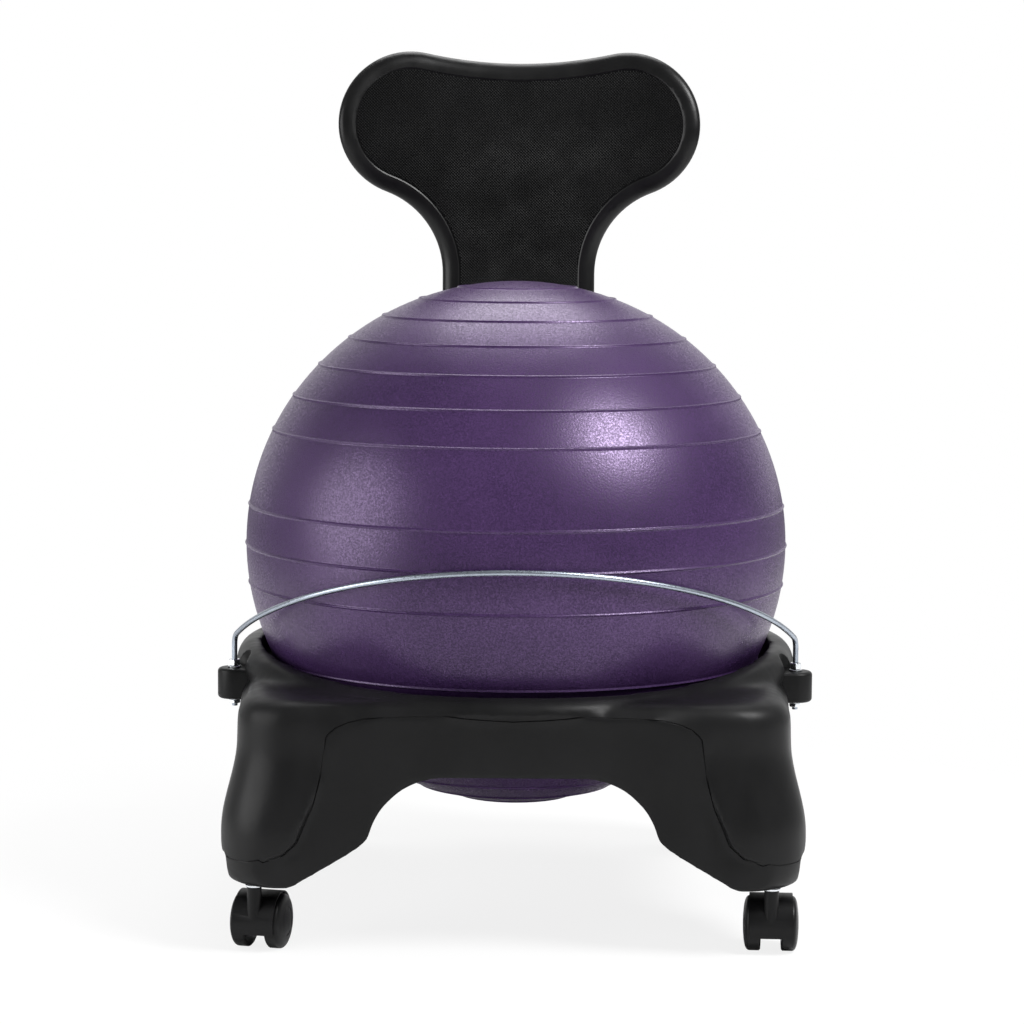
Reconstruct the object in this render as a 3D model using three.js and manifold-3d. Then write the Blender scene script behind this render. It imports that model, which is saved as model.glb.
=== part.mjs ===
// Balance ball chair: an inflated ball in a moulded ring base on four twin-wheel casters, with a
// back blade behind the ball and a bent rod round its front.
// Millimetres, +Z up, the sitter faces -Y. Places are worked out round the ball's upright axis.
import * as THREE from "three";
import { mergeVertices } from "three/addons/utils/BufferGeometryUtils.js";
import { TessellateModifier } from "three/addons/modifiers/TessellateModifier.js";
import Module from "manifold-3d";

const wasm = await Module();
wasm.setup();

// Shared clearances and working lengths
const seatGap = 0.3;
const boreClearance = 0.3;
const overrun = 40;
const mergeDistance = 0.001;

// Ball
const ballRadius = 260;
const ballSquash = 9;
const ballWall = 2.5;
const ribHeight = 1;
const ribWidth = 3;
const ribPitchDegrees = 8.6;
const ribPlaces = [0, 1, 3, 4, 5, 6, 7, 8, 9];
const plainPlaces = [2];
const valveRadius = 5;
const plugHeadRadius = 7;
const plugHeadThickness = 1.2;
const plugLength = 9;

// Casters
const wheelRadius = 25;
const wheelWidth = 16;
const wheelDome = 7;
const wheelCapWall = 3;
const axleRadius = 3;
const axleCover = 9;
const webHalfWidth = 8.8;
const webRadius = 23.5;
const webFloorGap = 15;
const wheelGap = 0.5;
const casterTrail = 20.5;
const fenderHalfWidth = 19.5;
const fenderGap = 1;
const fenderWall = 1.7;
const fenderFrontHeight = 16;
const fenderBackHeight = 30;
const neckRadius = 6.75;
const neckTop = 60;
const stemRadius = 5.5;
const stemSink = 27.5;
const stemReach = 35.7;
const stemTip = 2;
const gripGrooveDepth = 0.8;
const gripGrooveWidth = 2.5;
const gripGrooveDrop = 6;
const collarRadius = 8;
const collarThickness = 2.2;
const sleeveWall = 2.4;
const sleeveLead = 1;
const sleeveSpare = 3;

// Lock pedal of a rear caster
const pedalHalfWidth = 7;
const pedalThickness = 2.4;
const pedalGap = 0.7;
const pedalPinRadius = 1.25;
const pedalHubRadius = 2.6;
const pedalPinDegrees = 60;
const pedalEndDegrees = 2;
const pedalToeLength = 7;
const pedalReleaseDegrees = 10;
const earThickness = 2.6;
const earRadius = 3.8;
const earGap = 0.4;

// Base
const baseDepth = 172;
const skirtMargin = 6.5;
const shoulderInset = 14;
const panelInset = 11.5;
const cornerRadius = 58;
const casterInset = 32.5;
const skirtRise = 46;
const waistRise = 128;
const shoulderRise = 159;
const shoulderEdge = 12;
const flareSteps = 4;
const footEdgeWidth = 10;
const footEdgeHeight = 20;
const rimFrontInset = 4.5;
const rimSideReach = 3.5;
const rimRounding = 13;
const rimRootWidth = 18;
const rimRootDrop = 26;
const rimCrestHeight = 2;
const rimRise = 19;
const rimRiseDegrees = [20, 95];
const rimFadeHeight = 40;
const archInset = 204.5;
const archRadius = 70;
const archRise = 101;
const archTurnDegrees = 14;
const toeInset = 105;
const toeRise = 23;
const heelInset = 69.5;
const heelRise = 2;
const heelRun = 5;
const creaseDrop = 17;
const creaseShares = [
  [0.612, 0.875],
  [0.631, 0.802],
  [0.649, 0.593],
  [0.679, 0.442],
  [0.709, 0.337],
  [0.731, 0.25],
  [0.776, 0.186],
  [0.843, 0.157],
];
const creaseCornerShare = 0.585;
const seatDegrees = 36.3;
const seatDrop = 34.8;
const seatLand = 3;
const seatRelief = 5;
const seatLip = 4.5;
const bowlGap = 11.5;
const bowlFlare = 2.5;
const bowlEdge = 8;
const rearPadDepth = 6;
const rearPadCheek = 7;
const rearPadDrop = 6;

// Rod round the ball's front, its lugs and its nuts
const rodRadius = 2.6;
const rodBallClearance = 2.95;
const rodAboveMiddle = 2.5;
const rodElbowHeight = 29.6;
const rodElbowRun = 9;
const rodTip = 2.5;
const lugInset = 0.2;
const lugForward = 70;
const lugRadius = 16;
const lugThickness = 29;
const lugRoot = 30;
const lugEdge = 3;
const nutFlatRadius = 5;
const upperNutHeight = 6;
const lowerNutHeight = 3.5;
const washerRadius = 6.4;
const washerThickness = 1.2;

// Back blade
const bladeThickness = 34;
const bladeEdgeWidth = 12;
const bladeEdgeDepth = 10;
const columnHalfWidth = 79.5;
const columnFootRadius = 14;
const columnLipHeight = 6;
const channelInset = 8.5;
const lobeCentreSide = 112;
const lobeCentreHeight = 753;
const lobeRadius = 75;
const dipDepth = 12;
const neckFilletRadius = 90;
const bladeLean = 14;
const lumbarDepth = 8;
const headWrap = 30;
const bladeFacet = 60;
const bladeSplits = 8;
const boltRadius = 4;
const boltHeadRadius = 7.5;
const boltHeadHeight = 5.3;
const boltGrip = 24;
const boltHalfSpacing = 40;
const boltRise = 30;
const boltWasherRadius = 9;
const boltWasherThickness = 1.6;

// Facet counts
const ballSteps = 28;
const rimSteps = 36;
const wheelSteps = 16;
const smallSteps = 12;
const rodSides = 8;
const rodArcSteps = 20;
const elbowSteps = 3;
const nutSides = 6;
const cornerSteps = 4;
const bladeArcSteps = 5;
const edgeSteps = 3;

// How far each caster is turned from straight, seen from above
const casterPlaces = [
  { name: "front_left", side: -1, end: -1, turnDegrees: -14, locks: false },
  { name: "front_right", side: 1, end: -1, turnDegrees: -3, locks: false },
  { name: "rear_left", side: -1, end: 1, turnDegrees: 8, locks: true },
  { name: "rear_right", side: 1, end: 1, turnDegrees: -6, locks: true },
];

// Heights and places that follow from the sizes above
const radians = THREE.MathUtils.degToRad;
const collarBottom = neckTop + seatGap;
const collarTop = collarBottom + collarThickness;
const footHeight = collarTop + seatGap;
const deckHeight = footHeight + baseDepth;
const archTop = footHeight + archRise;
const ballHalfHeight = ballRadius - ballSquash;
const skirtHalfWidth = ballRadius + skirtMargin;
const casterHalfSpacing = skirtHalfWidth - casterInset;
const panelHalfWidth = skirtHalfWidth - panelInset;
const lugSide = skirtHalfWidth - lugInset;
const channelFloor = skirtHalfWidth - channelInset;
const archFlatHalf = skirtHalfWidth - archInset;
const toeReach = skirtHalfWidth - toeInset;
const heelReach = skirtHalfWidth - heelInset;
const seatRadius = ballRadius * Math.cos(radians(seatDegrees));
const seatHeight = deckHeight - seatDrop;
const wellRadius = seatRadius - seatLip;
const seatSink = Math.sqrt(1 - (seatRadius / ballRadius) ** 2);
const seatSlope = (ballHalfHeight * seatRadius) / (ballRadius ** 2 * seatSink);
const ballMiddle = seatHeight + ballHalfHeight * seatSink + seatGap * Math.hypot(1, seatSlope);
const bowlMouthRadius = ballRadiusAt(deckHeight) + bowlGap;
const columnFront = channelFloor + seatGap;
const columnBottom = archTop + columnLipHeight;
const bladeMiddle = columnFront + bladeThickness / 2;
const headTop = lobeCentreHeight + lobeRadius;
const dipHeight = headTop - dipDepth;
const axleLength = 2 * (webHalfWidth + wheelGap + axleCover);
const fenderRadius = wheelRadius + fenderGap + fenderWall;
const pinOrbit = fenderRadius + pedalGap + pedalHubRadius;
const sleeveRadius = stemRadius + boreClearance + sleeveWall;
const sleeveTop = footHeight + stemReach + sleeveSpare;

// The ball's radius where a height cuts it.
function ballRadiusAt(height) {
  return ballRadius * Math.sqrt(1 - ((height - ballMiddle) / ballHalfHeight) ** 2);
}

// Finishes
const finish = (color, roughness, metalness = 0) =>
  new THREE.MeshStandardMaterial({ color, roughness, metalness });
const blackShell = () => finish(0x262626, 0.55);
const blackBlade = () => finish(0x1a1a1a, 0.7);
const blackNylon = () => finish(0x1c1c1e, 0.4);
const purpleVinyl = () => finish(0x4b3365, 0.35);
const paleRubber = () => finish(0x5d4a78, 0.6);
const zincSteel = () => finish(0xa9afb8, 0.3, 1);
const brightSteel = () => finish(0xc4c7cb, 0.25, 1);
const greyAcetal = () => finish(0x3a3a3c, 0.5);

const chair = new THREE.Group();

// A closed geometry as a solid, its shared corners merged.
function solid(geometry) {
  const bare = new THREE.BufferGeometry();
  bare.setAttribute("position", geometry.getAttribute("position"));
  bare.setIndex(geometry.getIndex());
  const merged = mergeVertices(bare, mergeDistance);
  const mesh = new wasm.Mesh({
    numProp: 3,
    vertProperties: merged.getAttribute("position").array,
    triVerts: new Uint32Array(merged.getIndex().array),
  });
  return new wasm.Manifold(mesh);
}

// A solid back as a geometry with flat facets.
function geometryOf(shape) {
  const mesh = shape.getMesh();
  const geometry = new THREE.BufferGeometry();
  geometry.setAttribute("position", new THREE.BufferAttribute(mesh.vertProperties, 3));
  geometry.setIndex(new THREE.BufferAttribute(mesh.triVerts, 1));
  geometry.computeVertexNormals();
  return geometry;
}

function addPiece(name, shape, material, parent = chair) {
  const geometry = shape.isBufferGeometry ? shape : geometryOf(shape);
  const mesh = new THREE.Mesh(geometry, material);
  mesh.name = name;
  parent.add(mesh);
  return mesh;
}

// A profile of [radius, height] pairs turned round the upright axis.
function turned(profile, steps = smallSteps) {
  const points = profile.map(([radius, height]) => new THREE.Vector2(radius, height));
  return new THREE.LatheGeometry(points, steps).rotateX(Math.PI / 2);
}

// A plain round bar between two heights.
function roundBar(radius, low, high, steps = smallSteps) {
  const bar = new THREE.CylinderGeometry(radius, radius, high - low, steps);
  return bar.rotateX(Math.PI / 2).translate(0, 0, (low + high) / 2);
}

// The same bar lying along X or along Y, through a point.
function barAlongX(radius, left, right, y, z, steps = smallSteps) {
  return roundBar(radius, left, right, steps).rotateY(Math.PI / 2).translate(0, y, z);
}

function barAlongY(radius, front, back, x, z, steps = smallSteps) {
  return roundBar(radius, -back, -front, steps).rotateX(Math.PI / 2).translate(x, 0, z);
}

function ring(inner, outer, low, high, steps = smallSteps) {
  const profile = [
    [inner, low],
    [outer, low],
    [outer, high],
    [inner, high],
    [inner, low],
  ];
  return turned(profile, steps);
}

function block(x0, x1, y0, y1, z0, z1) {
  const box = new THREE.BoxGeometry(x1 - x0, y1 - y0, z1 - z0);
  return box.translate((x0 + x1) / 2, (y0 + y1) / 2, (z0 + z1) / 2);
}

// An outline drawn in X and Z, pushed along Y from front to back.
function slabAlongY(outline, front, back, options = {}) {
  const settings = { depth: back - front, bevelEnabled: false, ...options };
  return new THREE.ExtrudeGeometry(outline, settings).rotateX(Math.PI / 2).translate(0, back, 0);
}

// Rings of points with equal counts, skinned, and closed at both ends by fans.
function loft(rows) {
  const count = rows[0].length;
  const positions = rows.flat().flatMap((point) => point.toArray());
  const indices = [];
  for (let row = 0; row + 1 < rows.length; row++) {
    for (let i = 0; i < count; i++) {
      const a = row * count + i;
      const b = row * count + ((i + 1) % count);
      indices.push(a, b, b + count, a, b + count, a + count);
    }
  }
  for (const [row, up] of [[0, false], [rows.length - 1, true]]) {
    const hub = positions.length / 3;
    positions.push(0, 0, rows[row][0].z);
    for (let i = 0; i < count; i++) {
      const a = row * count + i;
      const b = row * count + ((i + 1) % count);
      indices.push(hub, up ? a : b, up ? b : a);
    }
  }
  const geometry = new THREE.BufferGeometry();
  geometry.setAttribute("position", new THREE.Float32BufferAttribute(positions, 3));
  geometry.setIndex(indices);
  return geometry;
}

// A rounded square at one height.
function squareRing(halfWidth, radius, height) {
  const points = [];
  for (let corner = 0; corner < 4; corner++) {
    const start = (corner * Math.PI) / 2;
    const middle = start + Math.PI / 4;
    const reach = (halfWidth - radius) * Math.SQRT2;
    for (let step = 0; step <= cornerSteps; step++) {
      const angle = start + (step / cornerSteps) * (Math.PI / 2);
      const x = reach * Math.cos(middle) + radius * Math.cos(angle);
      const y = reach * Math.sin(middle) + radius * Math.sin(angle);
      points.push(new THREE.Vector3(x, y, height));
    }
  }
  return points;
}

// Straight runs between points, so that a tube has a ring at each point.
class PointPath extends THREE.Curve {
  constructor(points) {
    super();
    this.points = points;
  }

  getPoint(share) {
    const place = share * (this.points.length - 1);
    const index = Math.min(Math.floor(place), this.points.length - 2);
    return this.points[index].clone().lerp(this.points[index + 1], place - index);
  }

  getUtoTmapping(share) {
    return share;
  }
}

// Ball: a hollow shell with raised ribs, and a valve hole at its foot
function ballProfile() {
  const top = Math.PI / 2;
  const halfRib = ribWidth / 2 / ballRadius;
  const stations = [];
  for (const place of ribPlaces) {
    const angle = radians(place * ribPitchDegrees);
    stations.push([angle - halfRib, 0], [angle, ribHeight], [angle + halfRib, 0]);
  }
  for (const place of plainPlaces) stations.push([radians(place * ribPitchDegrees), 0]);
  const above = stations.filter(([angle]) => angle >= 0);
  const below = above.filter(([angle]) => angle > 0).map(([angle, rise]) => [-angle, rise]);
  const all = [[-top, 0], ...below, ...above, [top, 0]].sort((a, b) => a[0] - b[0]);
  return all.map(([angle, rise]) => {
    const radius = (ballRadius + rise) * Math.cos(angle);
    return [Math.abs(angle) === top ? 0 : radius, (ballHalfHeight + rise) * Math.sin(angle)];
  });
}

function makeBall() {
  const outside = solid(turned(ballProfile(), ballSteps));
  const inside = new THREE.SphereGeometry(1, ballSteps / 2, ballSteps / 4)
    .rotateX(Math.PI / 2)
    .scale(ballRadius - ballWall, ballRadius - ballWall, ballHalfHeight - ballWall);
  const hole = roundBar(valveRadius, -ballHalfHeight - overrun, 0);
  const shell = outside.subtract(solid(inside)).subtract(solid(hole));
  addPiece("ball", shell, purpleVinyl()).position.z = ballMiddle;

  const surface = -ballHalfHeight - seatGap;
  const shank = valveRadius - boreClearance;
  const plug = turned([
    [0, surface - plugHeadThickness],
    [plugHeadRadius, surface - plugHeadThickness],
    [plugHeadRadius, surface],
    [shank, surface],
    [shank, surface + plugLength],
    [0, surface + plugLength],
  ]);
  addPiece("ball_valve_plug", plug, paleRubber()).position.z = ballMiddle;
}

// Base: a loft of rounded squares that flares over the legs, a flat panel between each two legs,
// a round rim on top, four arches, and the ball's bowl and well
function baseRows() {
  const rows = [];
  const shoulderHalfWidth = skirtHalfWidth - shoulderInset;
  for (let step = 0; step <= edgeSteps; step++) {
    const angle = (step / edgeSteps) * (Math.PI / 2);
    const halfWidth = skirtHalfWidth - footEdgeWidth * (1 - Math.sin(angle));
    rows.push([halfWidth, footHeight + footEdgeHeight * (1 - Math.cos(angle))]);
  }
  for (let step = 0; step <= flareSteps; step++) {
    const share = step / flareSteps;
    const halfWidth = skirtHalfWidth - shoulderInset * THREE.MathUtils.smoothstep(share, 0, 1);
    rows.push([halfWidth, footHeight + THREE.MathUtils.lerp(skirtRise, waistRise, share)]);
  }
  for (let step = 0; step <= edgeSteps; step++) {
    const angle = (step / edgeSteps) * (Math.PI / 2);
    const halfWidth = shoulderHalfWidth - shoulderEdge * (1 - Math.cos(angle));
    rows.push([halfWidth, footHeight + shoulderRise - shoulderEdge * (1 - Math.sin(angle))]);
  }
  return rows.map(([halfWidth, height]) => {
    const radius = cornerRadius - (skirtHalfWidth - halfWidth) / 2;
    return squareRing(halfWidth, radius, height);
  });
}

// The round rim: lowest at the front, higher at the sides and the back, and a little wider there.
function rimSolid() {
  const crest = deckHeight + rimCrestHeight;
  const front = skirtHalfWidth - rimFrontInset;
  const inner = front - rimRounding;
  const profile = [[0, deckHeight - rimRootDrop], [front - rimRootWidth, deckHeight - rimRootDrop]];
  for (let step = 0; step <= edgeSteps; step++) {
    const angle = (step / edgeSteps) * (Math.PI / 2);
    profile.push([inner + rimRounding * Math.cos(angle), crest - rimRounding * (1 - Math.sin(angle))]);
  }
  const rim = turned([...profile, [0, crest]], rimSteps);
  const places = rim.getAttribute("position");
  const [riseStart, riseEnd] = rimRiseDegrees.map(radians);
  for (let i = 0; i < places.count; i++) {
    const height = places.getZ(i);
    const round = Math.atan2(Math.abs(places.getX(i)), -places.getY(i));
    const share = THREE.MathUtils.clamp((height - deckHeight + rimFadeHeight) / rimFadeHeight, 0, 1);
    const rise = rimRise * THREE.MathUtils.smoothstep(round, riseStart, riseEnd);
    places.setZ(i, height + rise * share);
  }
  const widening = (skirtHalfWidth + rimSideReach) / front;
  return solid(rim.scale(widening, 1, 1));
}

// Arch through one pair of sides: a flat crown, a round shoulder and a sloping toe.
function archOutline() {
  const turn = radians(archTurnDegrees);
  const centreHeight = archTop - archRadius;
  const side = archFlatHalf + archRadius * Math.cos(turn);
  const sideHeight = centreHeight + archRadius * Math.sin(turn);
  const slope = (toeRise - heelRise) / (heelReach - toeReach);
  const knee = footHeight + toeRise + slope * (toeReach - side);
  const floor = footHeight - overrun;
  const shape = new THREE.Shape();
  shape.moveTo(archFlatHalf, archTop);
  shape.absarc(archFlatHalf, centreHeight, archRadius, Math.PI / 2, turn, true);
  shape.quadraticCurveTo(side, knee, toeReach, footHeight + toeRise);
  shape.lineTo(heelReach, footHeight + heelRise);
  shape.lineTo(heelReach + heelRun, footHeight);
  shape.lineTo(heelReach + heelRun, floor);
  shape.lineTo(-heelReach - heelRun, floor);
  shape.lineTo(-heelReach - heelRun, footHeight);
  shape.lineTo(-heelReach, footHeight + heelRise);
  shape.lineTo(-toeReach, footHeight + toeRise);
  shape.quadraticCurveTo(-side, knee, -side, sideHeight);
  shape.absarc(-archFlatHalf, centreHeight, archRadius, Math.PI - turn, Math.PI / 2, true);
  shape.lineTo(archFlatHalf, archTop);
  return shape;
}

// Outline of the flat panel between two legs: a straight crown, and creases down to the feet. Open
// at its foot, it takes in all that lies outside the band round the feet.
function panelOutline(open) {
  const places = creaseShares.map(([side, rise]) => [
    side * skirtHalfWidth,
    footHeight + rise * baseDepth,
  ]);
  const [, toeHeight] = places[places.length - 1];
  const crown = deckHeight - creaseDrop;
  if (open) {
    const side = skirtHalfWidth + overrun;
    places.push([side, toeHeight], [side, footHeight - overrun]);
  }
  const shape = new THREE.Shape();
  shape.moveTo(-creaseCornerShare * skirtHalfWidth, crown);
  shape.lineTo(creaseCornerShare * skirtHalfWidth, crown);
  for (const [x, height] of places) shape.lineTo(x, height);
  for (const [x, height] of places.toReversed()) shape.lineTo(-x, height);
  shape.closePath();
  return shape;
}

// Space of the ball: bowl mouth, a cone that carries the ball, and the well below it.
function bowlProfile() {
  const low = seatHeight - (seatRadius - wellRadius) * seatSlope;
  const high = seatHeight + seatLand * seatSlope;
  return [
    [0, footHeight - overrun],
    [wellRadius, footHeight - overrun],
    [wellRadius, low],
    [seatRadius + seatLand, high],
    [seatRadius + seatLand + seatRelief, high],
    [bowlMouthRadius - bowlEdge, deckHeight - bowlEdge],
    [bowlMouthRadius, deckHeight],
    [bowlMouthRadius + bowlFlare, deckHeight + rimRise],
    [bowlMouthRadius + bowlFlare, deckHeight + overrun],
    [0, deckHeight + overrun],
  ];
}

function lugSolid(side) {
  const outline = new THREE.Shape();
  outline.moveTo(-lugRoot, -lugRadius);
  outline.lineTo(0, -lugRadius);
  outline.absarc(0, 0, lugRadius, -Math.PI / 2, Math.PI / 2, false);
  outline.lineTo(-lugRoot, lugRadius);
  outline.closePath();
  const plate = new THREE.ExtrudeGeometry(outline, {
    depth: lugThickness - 2 * lugEdge,
    bevelThickness: lugEdge,
    bevelSize: lugEdge,
    bevelOffset: -lugEdge,
    bevelSegments: 2,
    curveSegments: smallSteps / 2,
  });
  plate.rotateZ(side > 0 ? 0 : Math.PI);
  plate.translate(side * lugSide, -lugForward, deckHeight - lugThickness + lugEdge);
  return solid(plate);
}

function makeBase() {
  const width = skirtHalfWidth + overrun;
  const arch = slabAlongY(archOutline(), -width, width, { curveSegments: cornerSteps });
  const proud = slabAlongY(panelOutline(true), -width, -panelHalfWidth);
  const flush = slabAlongY(panelOutline(false), -panelHalfWidth, -wellRadius);
  let shape = solid(loft(baseRows()));
  for (let quarter = 0; quarter < 4; quarter++) {
    const turn = (quarter * Math.PI) / 2;
    shape = shape.subtract(solid(proud.clone().rotateZ(turn)));
    shape = shape.add(solid(flush.clone().rotateZ(turn)));
  }
  for (const quarter of [0, 1]) {
    shape = shape.subtract(solid(arch.clone().rotateZ((quarter * Math.PI) / 2)));
  }
  shape = shape.add(rimSolid());
  const padHalf = columnHalfWidth + seatGap + rearPadCheek;
  const padBack = channelFloor + rearPadDepth;
  const padTop = deckHeight - rearPadDrop;
  shape = shape.add(solid(block(-padHalf, padHalf, wellRadius, padBack, archTop, padTop)));
  for (const side of [-1, 1]) shape = shape.add(lugSolid(side));
  shape = shape.subtract(solid(turned(bowlProfile(), ballSteps)));
  for (const side of [-1, 1]) {
    const bore = roundBar(rodRadius + boreClearance, footHeight, deckHeight + overrun);
    const nutSpace = roundBar(lugRadius, deckHeight, deckHeight + overrun);
    for (const cut of [bore, nutSpace]) {
      shape = shape.subtract(solid(cut.translate(side * lugSide, -lugForward, 0)));
    }
  }
  const channelHalf = columnHalfWidth + seatGap;
  const channelLow = columnBottom - seatGap;
  const channelTop = deckHeight + overrun;
  const channel = block(-channelHalf, channelHalf, channelFloor, width, channelLow, channelTop);
  shape = shape.subtract(solid(channel));
  for (const side of [-1, 1]) {
    const depth = channelFloor - boltGrip - seatGap;
    const bore = barAlongY(
      boltRadius + boreClearance,
      depth,
      width,
      side * boltHalfSpacing,
      columnBottom + boltRise,
    );
    shape = shape.subtract(solid(bore));
  }
  for (const { side, end } of casterPlaces) {
    const socket = roundBar(sleeveRadius + boreClearance, 0, sleeveTop + seatGap);
    socket.translate(side * casterHalfSpacing, end * casterHalfSpacing, 0);
    shape = shape.subtract(solid(socket));
  }
  addPiece("base_shell", shape, blackShell());
}

// Back blade: a two-lobed head on a wide column, bent to lean back and wrap round the sitter
function bladeOutline() {
  const hollow = lobeRadius + neckFilletRadius;
  const filletSide = columnHalfWidth + neckFilletRadius;
  const filletDrop = Math.sqrt(hollow ** 2 - (filletSide - lobeCentreSide) ** 2);
  const filletHeight = lobeCentreHeight - filletDrop;
  const lobeStart = Math.atan2(-filletDrop, filletSide - lobeCentreSide);
  const lift = dipHeight - lobeCentreHeight;
  const dipRadius = (lobeCentreSide ** 2 + lift ** 2 - lobeRadius ** 2) / (2 * (lobeRadius - lift));
  const dipCentre = dipHeight + dipRadius;
  const lobeEnd = Math.atan2(dipCentre - lobeCentreHeight, -lobeCentreSide);
  const shape = new THREE.Shape();
  const foot = columnHalfWidth - columnFootRadius;
  const footCentre = columnBottom + columnFootRadius;
  shape.moveTo(-foot, columnBottom);
  shape.absarc(foot, footCentre, columnFootRadius, -Math.PI / 2, 0, false);
  shape.absarc(filletSide, filletHeight, neckFilletRadius, Math.PI, lobeStart + Math.PI, true);
  shape.absarc(lobeCentreSide, lobeCentreHeight, lobeRadius, lobeStart, lobeEnd, false);
  shape.absarc(0, dipCentre, dipRadius, lobeEnd - Math.PI, -lobeEnd, true);
  shape.absarc(-lobeCentreSide, lobeCentreHeight, lobeRadius, Math.PI - lobeEnd, -Math.PI - lobeStart, false);
  shape.absarc(-filletSide, filletHeight, neckFilletRadius, -lobeStart, 0, true);
  shape.absarc(-foot, footCentre, columnFootRadius, Math.PI, Math.PI * 1.5, false);
  return shape;
}

// How far back a point of the flat blade moves.
function bladeShift(x, z) {
  const climbed = THREE.MathUtils.clamp((z - deckHeight) / (lobeCentreHeight - deckHeight), 0, 1);
  const head = THREE.MathUtils.smoothstep(z, lobeCentreHeight - 2 * lobeRadius, lobeCentreHeight);
  const headShare = THREE.MathUtils.clamp((headTop - z) / (3 * lobeRadius), 0, 1);
  const lumbar = lumbarDepth * Math.sin(Math.PI * headShare) ** 2;
  const wrap = headWrap * head * (x / (lobeCentreSide + lobeRadius)) ** 2;
  return bladeLean * Math.sin((climbed * Math.PI) / 2) - lumbar - wrap;
}

function makeBackrest() {
  const flat = new THREE.ExtrudeGeometry(bladeOutline(), {
    depth: bladeThickness - 2 * bladeEdgeDepth,
    bevelThickness: bladeEdgeDepth,
    bevelSize: bladeEdgeWidth,
    bevelOffset: -bladeEdgeWidth,
    bevelSegments: 2,
    curveSegments: bladeArcSteps,
  });
  flat.rotateX(Math.PI / 2).translate(0, bladeMiddle + bladeThickness / 2 - bladeEdgeDepth, 0);
  const fine = new TessellateModifier(bladeFacet, bladeSplits).modify(flat);
  const places = fine.getAttribute("position");
  for (let i = 0; i < places.count; i++) {
    places.setY(i, places.getY(i) + bladeShift(places.getX(i), places.getZ(i)));
  }
  let shape = solid(fine);
  const back = bladeMiddle + bladeThickness / 2;
  const height = columnBottom + boltRise;
  for (const side of [-1, 1]) {
    const x = side * boltHalfSpacing;
    const bore = barAlongY(boltRadius + boreClearance, 0, back + overrun, x, height);
    shape = shape.subtract(solid(bore));
  }
  addPiece("backrest", shape, blackBlade());

  for (const side of [-1, 1]) {
    const word = side < 0 ? "left" : "right";
    const x = side * boltHalfSpacing;
    const washer = ring(
      boltRadius + boreClearance,
      boltWasherRadius,
      -back - seatGap - boltWasherThickness,
      -back - seatGap,
    );
    washer.rotateX(Math.PI / 2).translate(x, 0, height);
    addPiece(`back_washer_${word}`, washer, zincSteel());
    const underHead = back + 2 * seatGap + boltWasherThickness;
    const shank = barAlongY(boltRadius, channelFloor - boltGrip, underHead + seatGap, x, height);
    const top = underHead + boltHeadHeight;
    const head = barAlongY(boltHeadRadius, underHead, top, x, height, nutSides);
    addPiece(`back_bolt_${word}`, solid(shank).add(solid(head)), zincSteel());
  }
}

// Rod: up through one lug, a tight elbow, a rising arc round the ball, and down again
function rodPoints() {
  const front = ballRadius + ribHeight + rodBallClearance + rodRadius;
  const square = lugSide ** 2 + lugForward ** 2 - front ** 2;
  const centre = square / (2 * (front - lugForward));
  const radius = centre + front;
  const start = Math.atan2(-lugForward - centre, lugSide);
  const elbowHeight = deckHeight + rodElbowHeight;
  const rise = ballMiddle + rodAboveMiddle - elbowHeight;
  const onArc = (angle) => {
    const y = centre + radius * Math.sin(angle);
    const share = (-lugForward - y) / (front - lugForward);
    return new THREE.Vector3(radius * Math.cos(angle), y, elbowHeight + rise * share);
  };
  const elbowTurn = rodElbowRun / radius;
  const corner = new THREE.Vector3(lugSide, -lugForward, elbowHeight);
  const below = corner.clone().setZ(elbowHeight - rodElbowRun);
  const elbow = new THREE.QuadraticBezierCurve3(below, corner, onArc(start - elbowTurn));
  const points = [corner.clone().setZ(lugStack().rodEnd), ...elbow.getPoints(elbowSteps)];
  const span = -Math.PI / 2 - (start - elbowTurn);
  const halfSteps = rodArcSteps / 2;
  for (let step = 1; step <= halfSteps; step++) {
    points.push(onArc(start - elbowTurn + (span * step) / halfSteps));
  }
  const mirrored = points.slice(0, -1).toReversed();
  return [...points, ...mirrored.map((point) => new THREE.Vector3(-point.x, point.y, point.z))];
}

// Heights of the washers and nuts over and under a lug, and of the rod's end.
function lugStack() {
  const lugBottom = deckHeight - lugThickness;
  const upperWasher = deckHeight + seatGap;
  const upperNut = upperWasher + washerThickness + seatGap;
  const lowerWasher = lugBottom - seatGap - washerThickness;
  const lowerNut = lowerWasher - seatGap - lowerNutHeight;
  return { upperWasher, upperNut, lowerWasher, lowerNut, rodEnd: lowerNut - rodTip };
}

function makeSupportBar() {
  const section = new THREE.Shape().absarc(0, 0, rodRadius, 0, 2 * Math.PI, false);
  const points = rodPoints();
  const rod = new THREE.ExtrudeGeometry(section, {
    extrudePath: new PointPath(points),
    steps: points.length - 1,
    curveSegments: rodSides / 2,
  });
  addPiece("support_bar", rod, zincSteel());

  const bore = rodRadius + boreClearance;
  const nutRadius = nutFlatRadius / Math.cos(Math.PI / nutSides);
  const { upperWasher, upperNut, lowerWasher, lowerNut } = lugStack();
  const nut = (low, height) => {
    const hexagon = roundBar(nutRadius, low, low + height, nutSides);
    return solid(hexagon).subtract(solid(roundBar(bore, low - overrun, low + overrun)));
  };
  const washer = (low) => ring(bore, washerRadius, low, low + washerThickness);
  for (const side of [-1, 1]) {
    const word = side < 0 ? "left" : "right";
    const place = new THREE.Group();
    place.position.set(side * lugSide, -lugForward, 0);
    chair.add(place);
    addPiece(`bar_upper_washer_${word}`, washer(upperWasher), brightSteel(), place);
    addPiece(`bar_upper_nut_${word}`, nut(upperNut, upperNutHeight), brightSteel(), place);
    addPiece(`bar_lower_washer_${word}`, washer(lowerWasher), brightSteel(), place);
    addPiece(`bar_lower_nut_${word}`, nut(lowerNut, lowerNutHeight), brightSteel(), place);
  }
}

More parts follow.
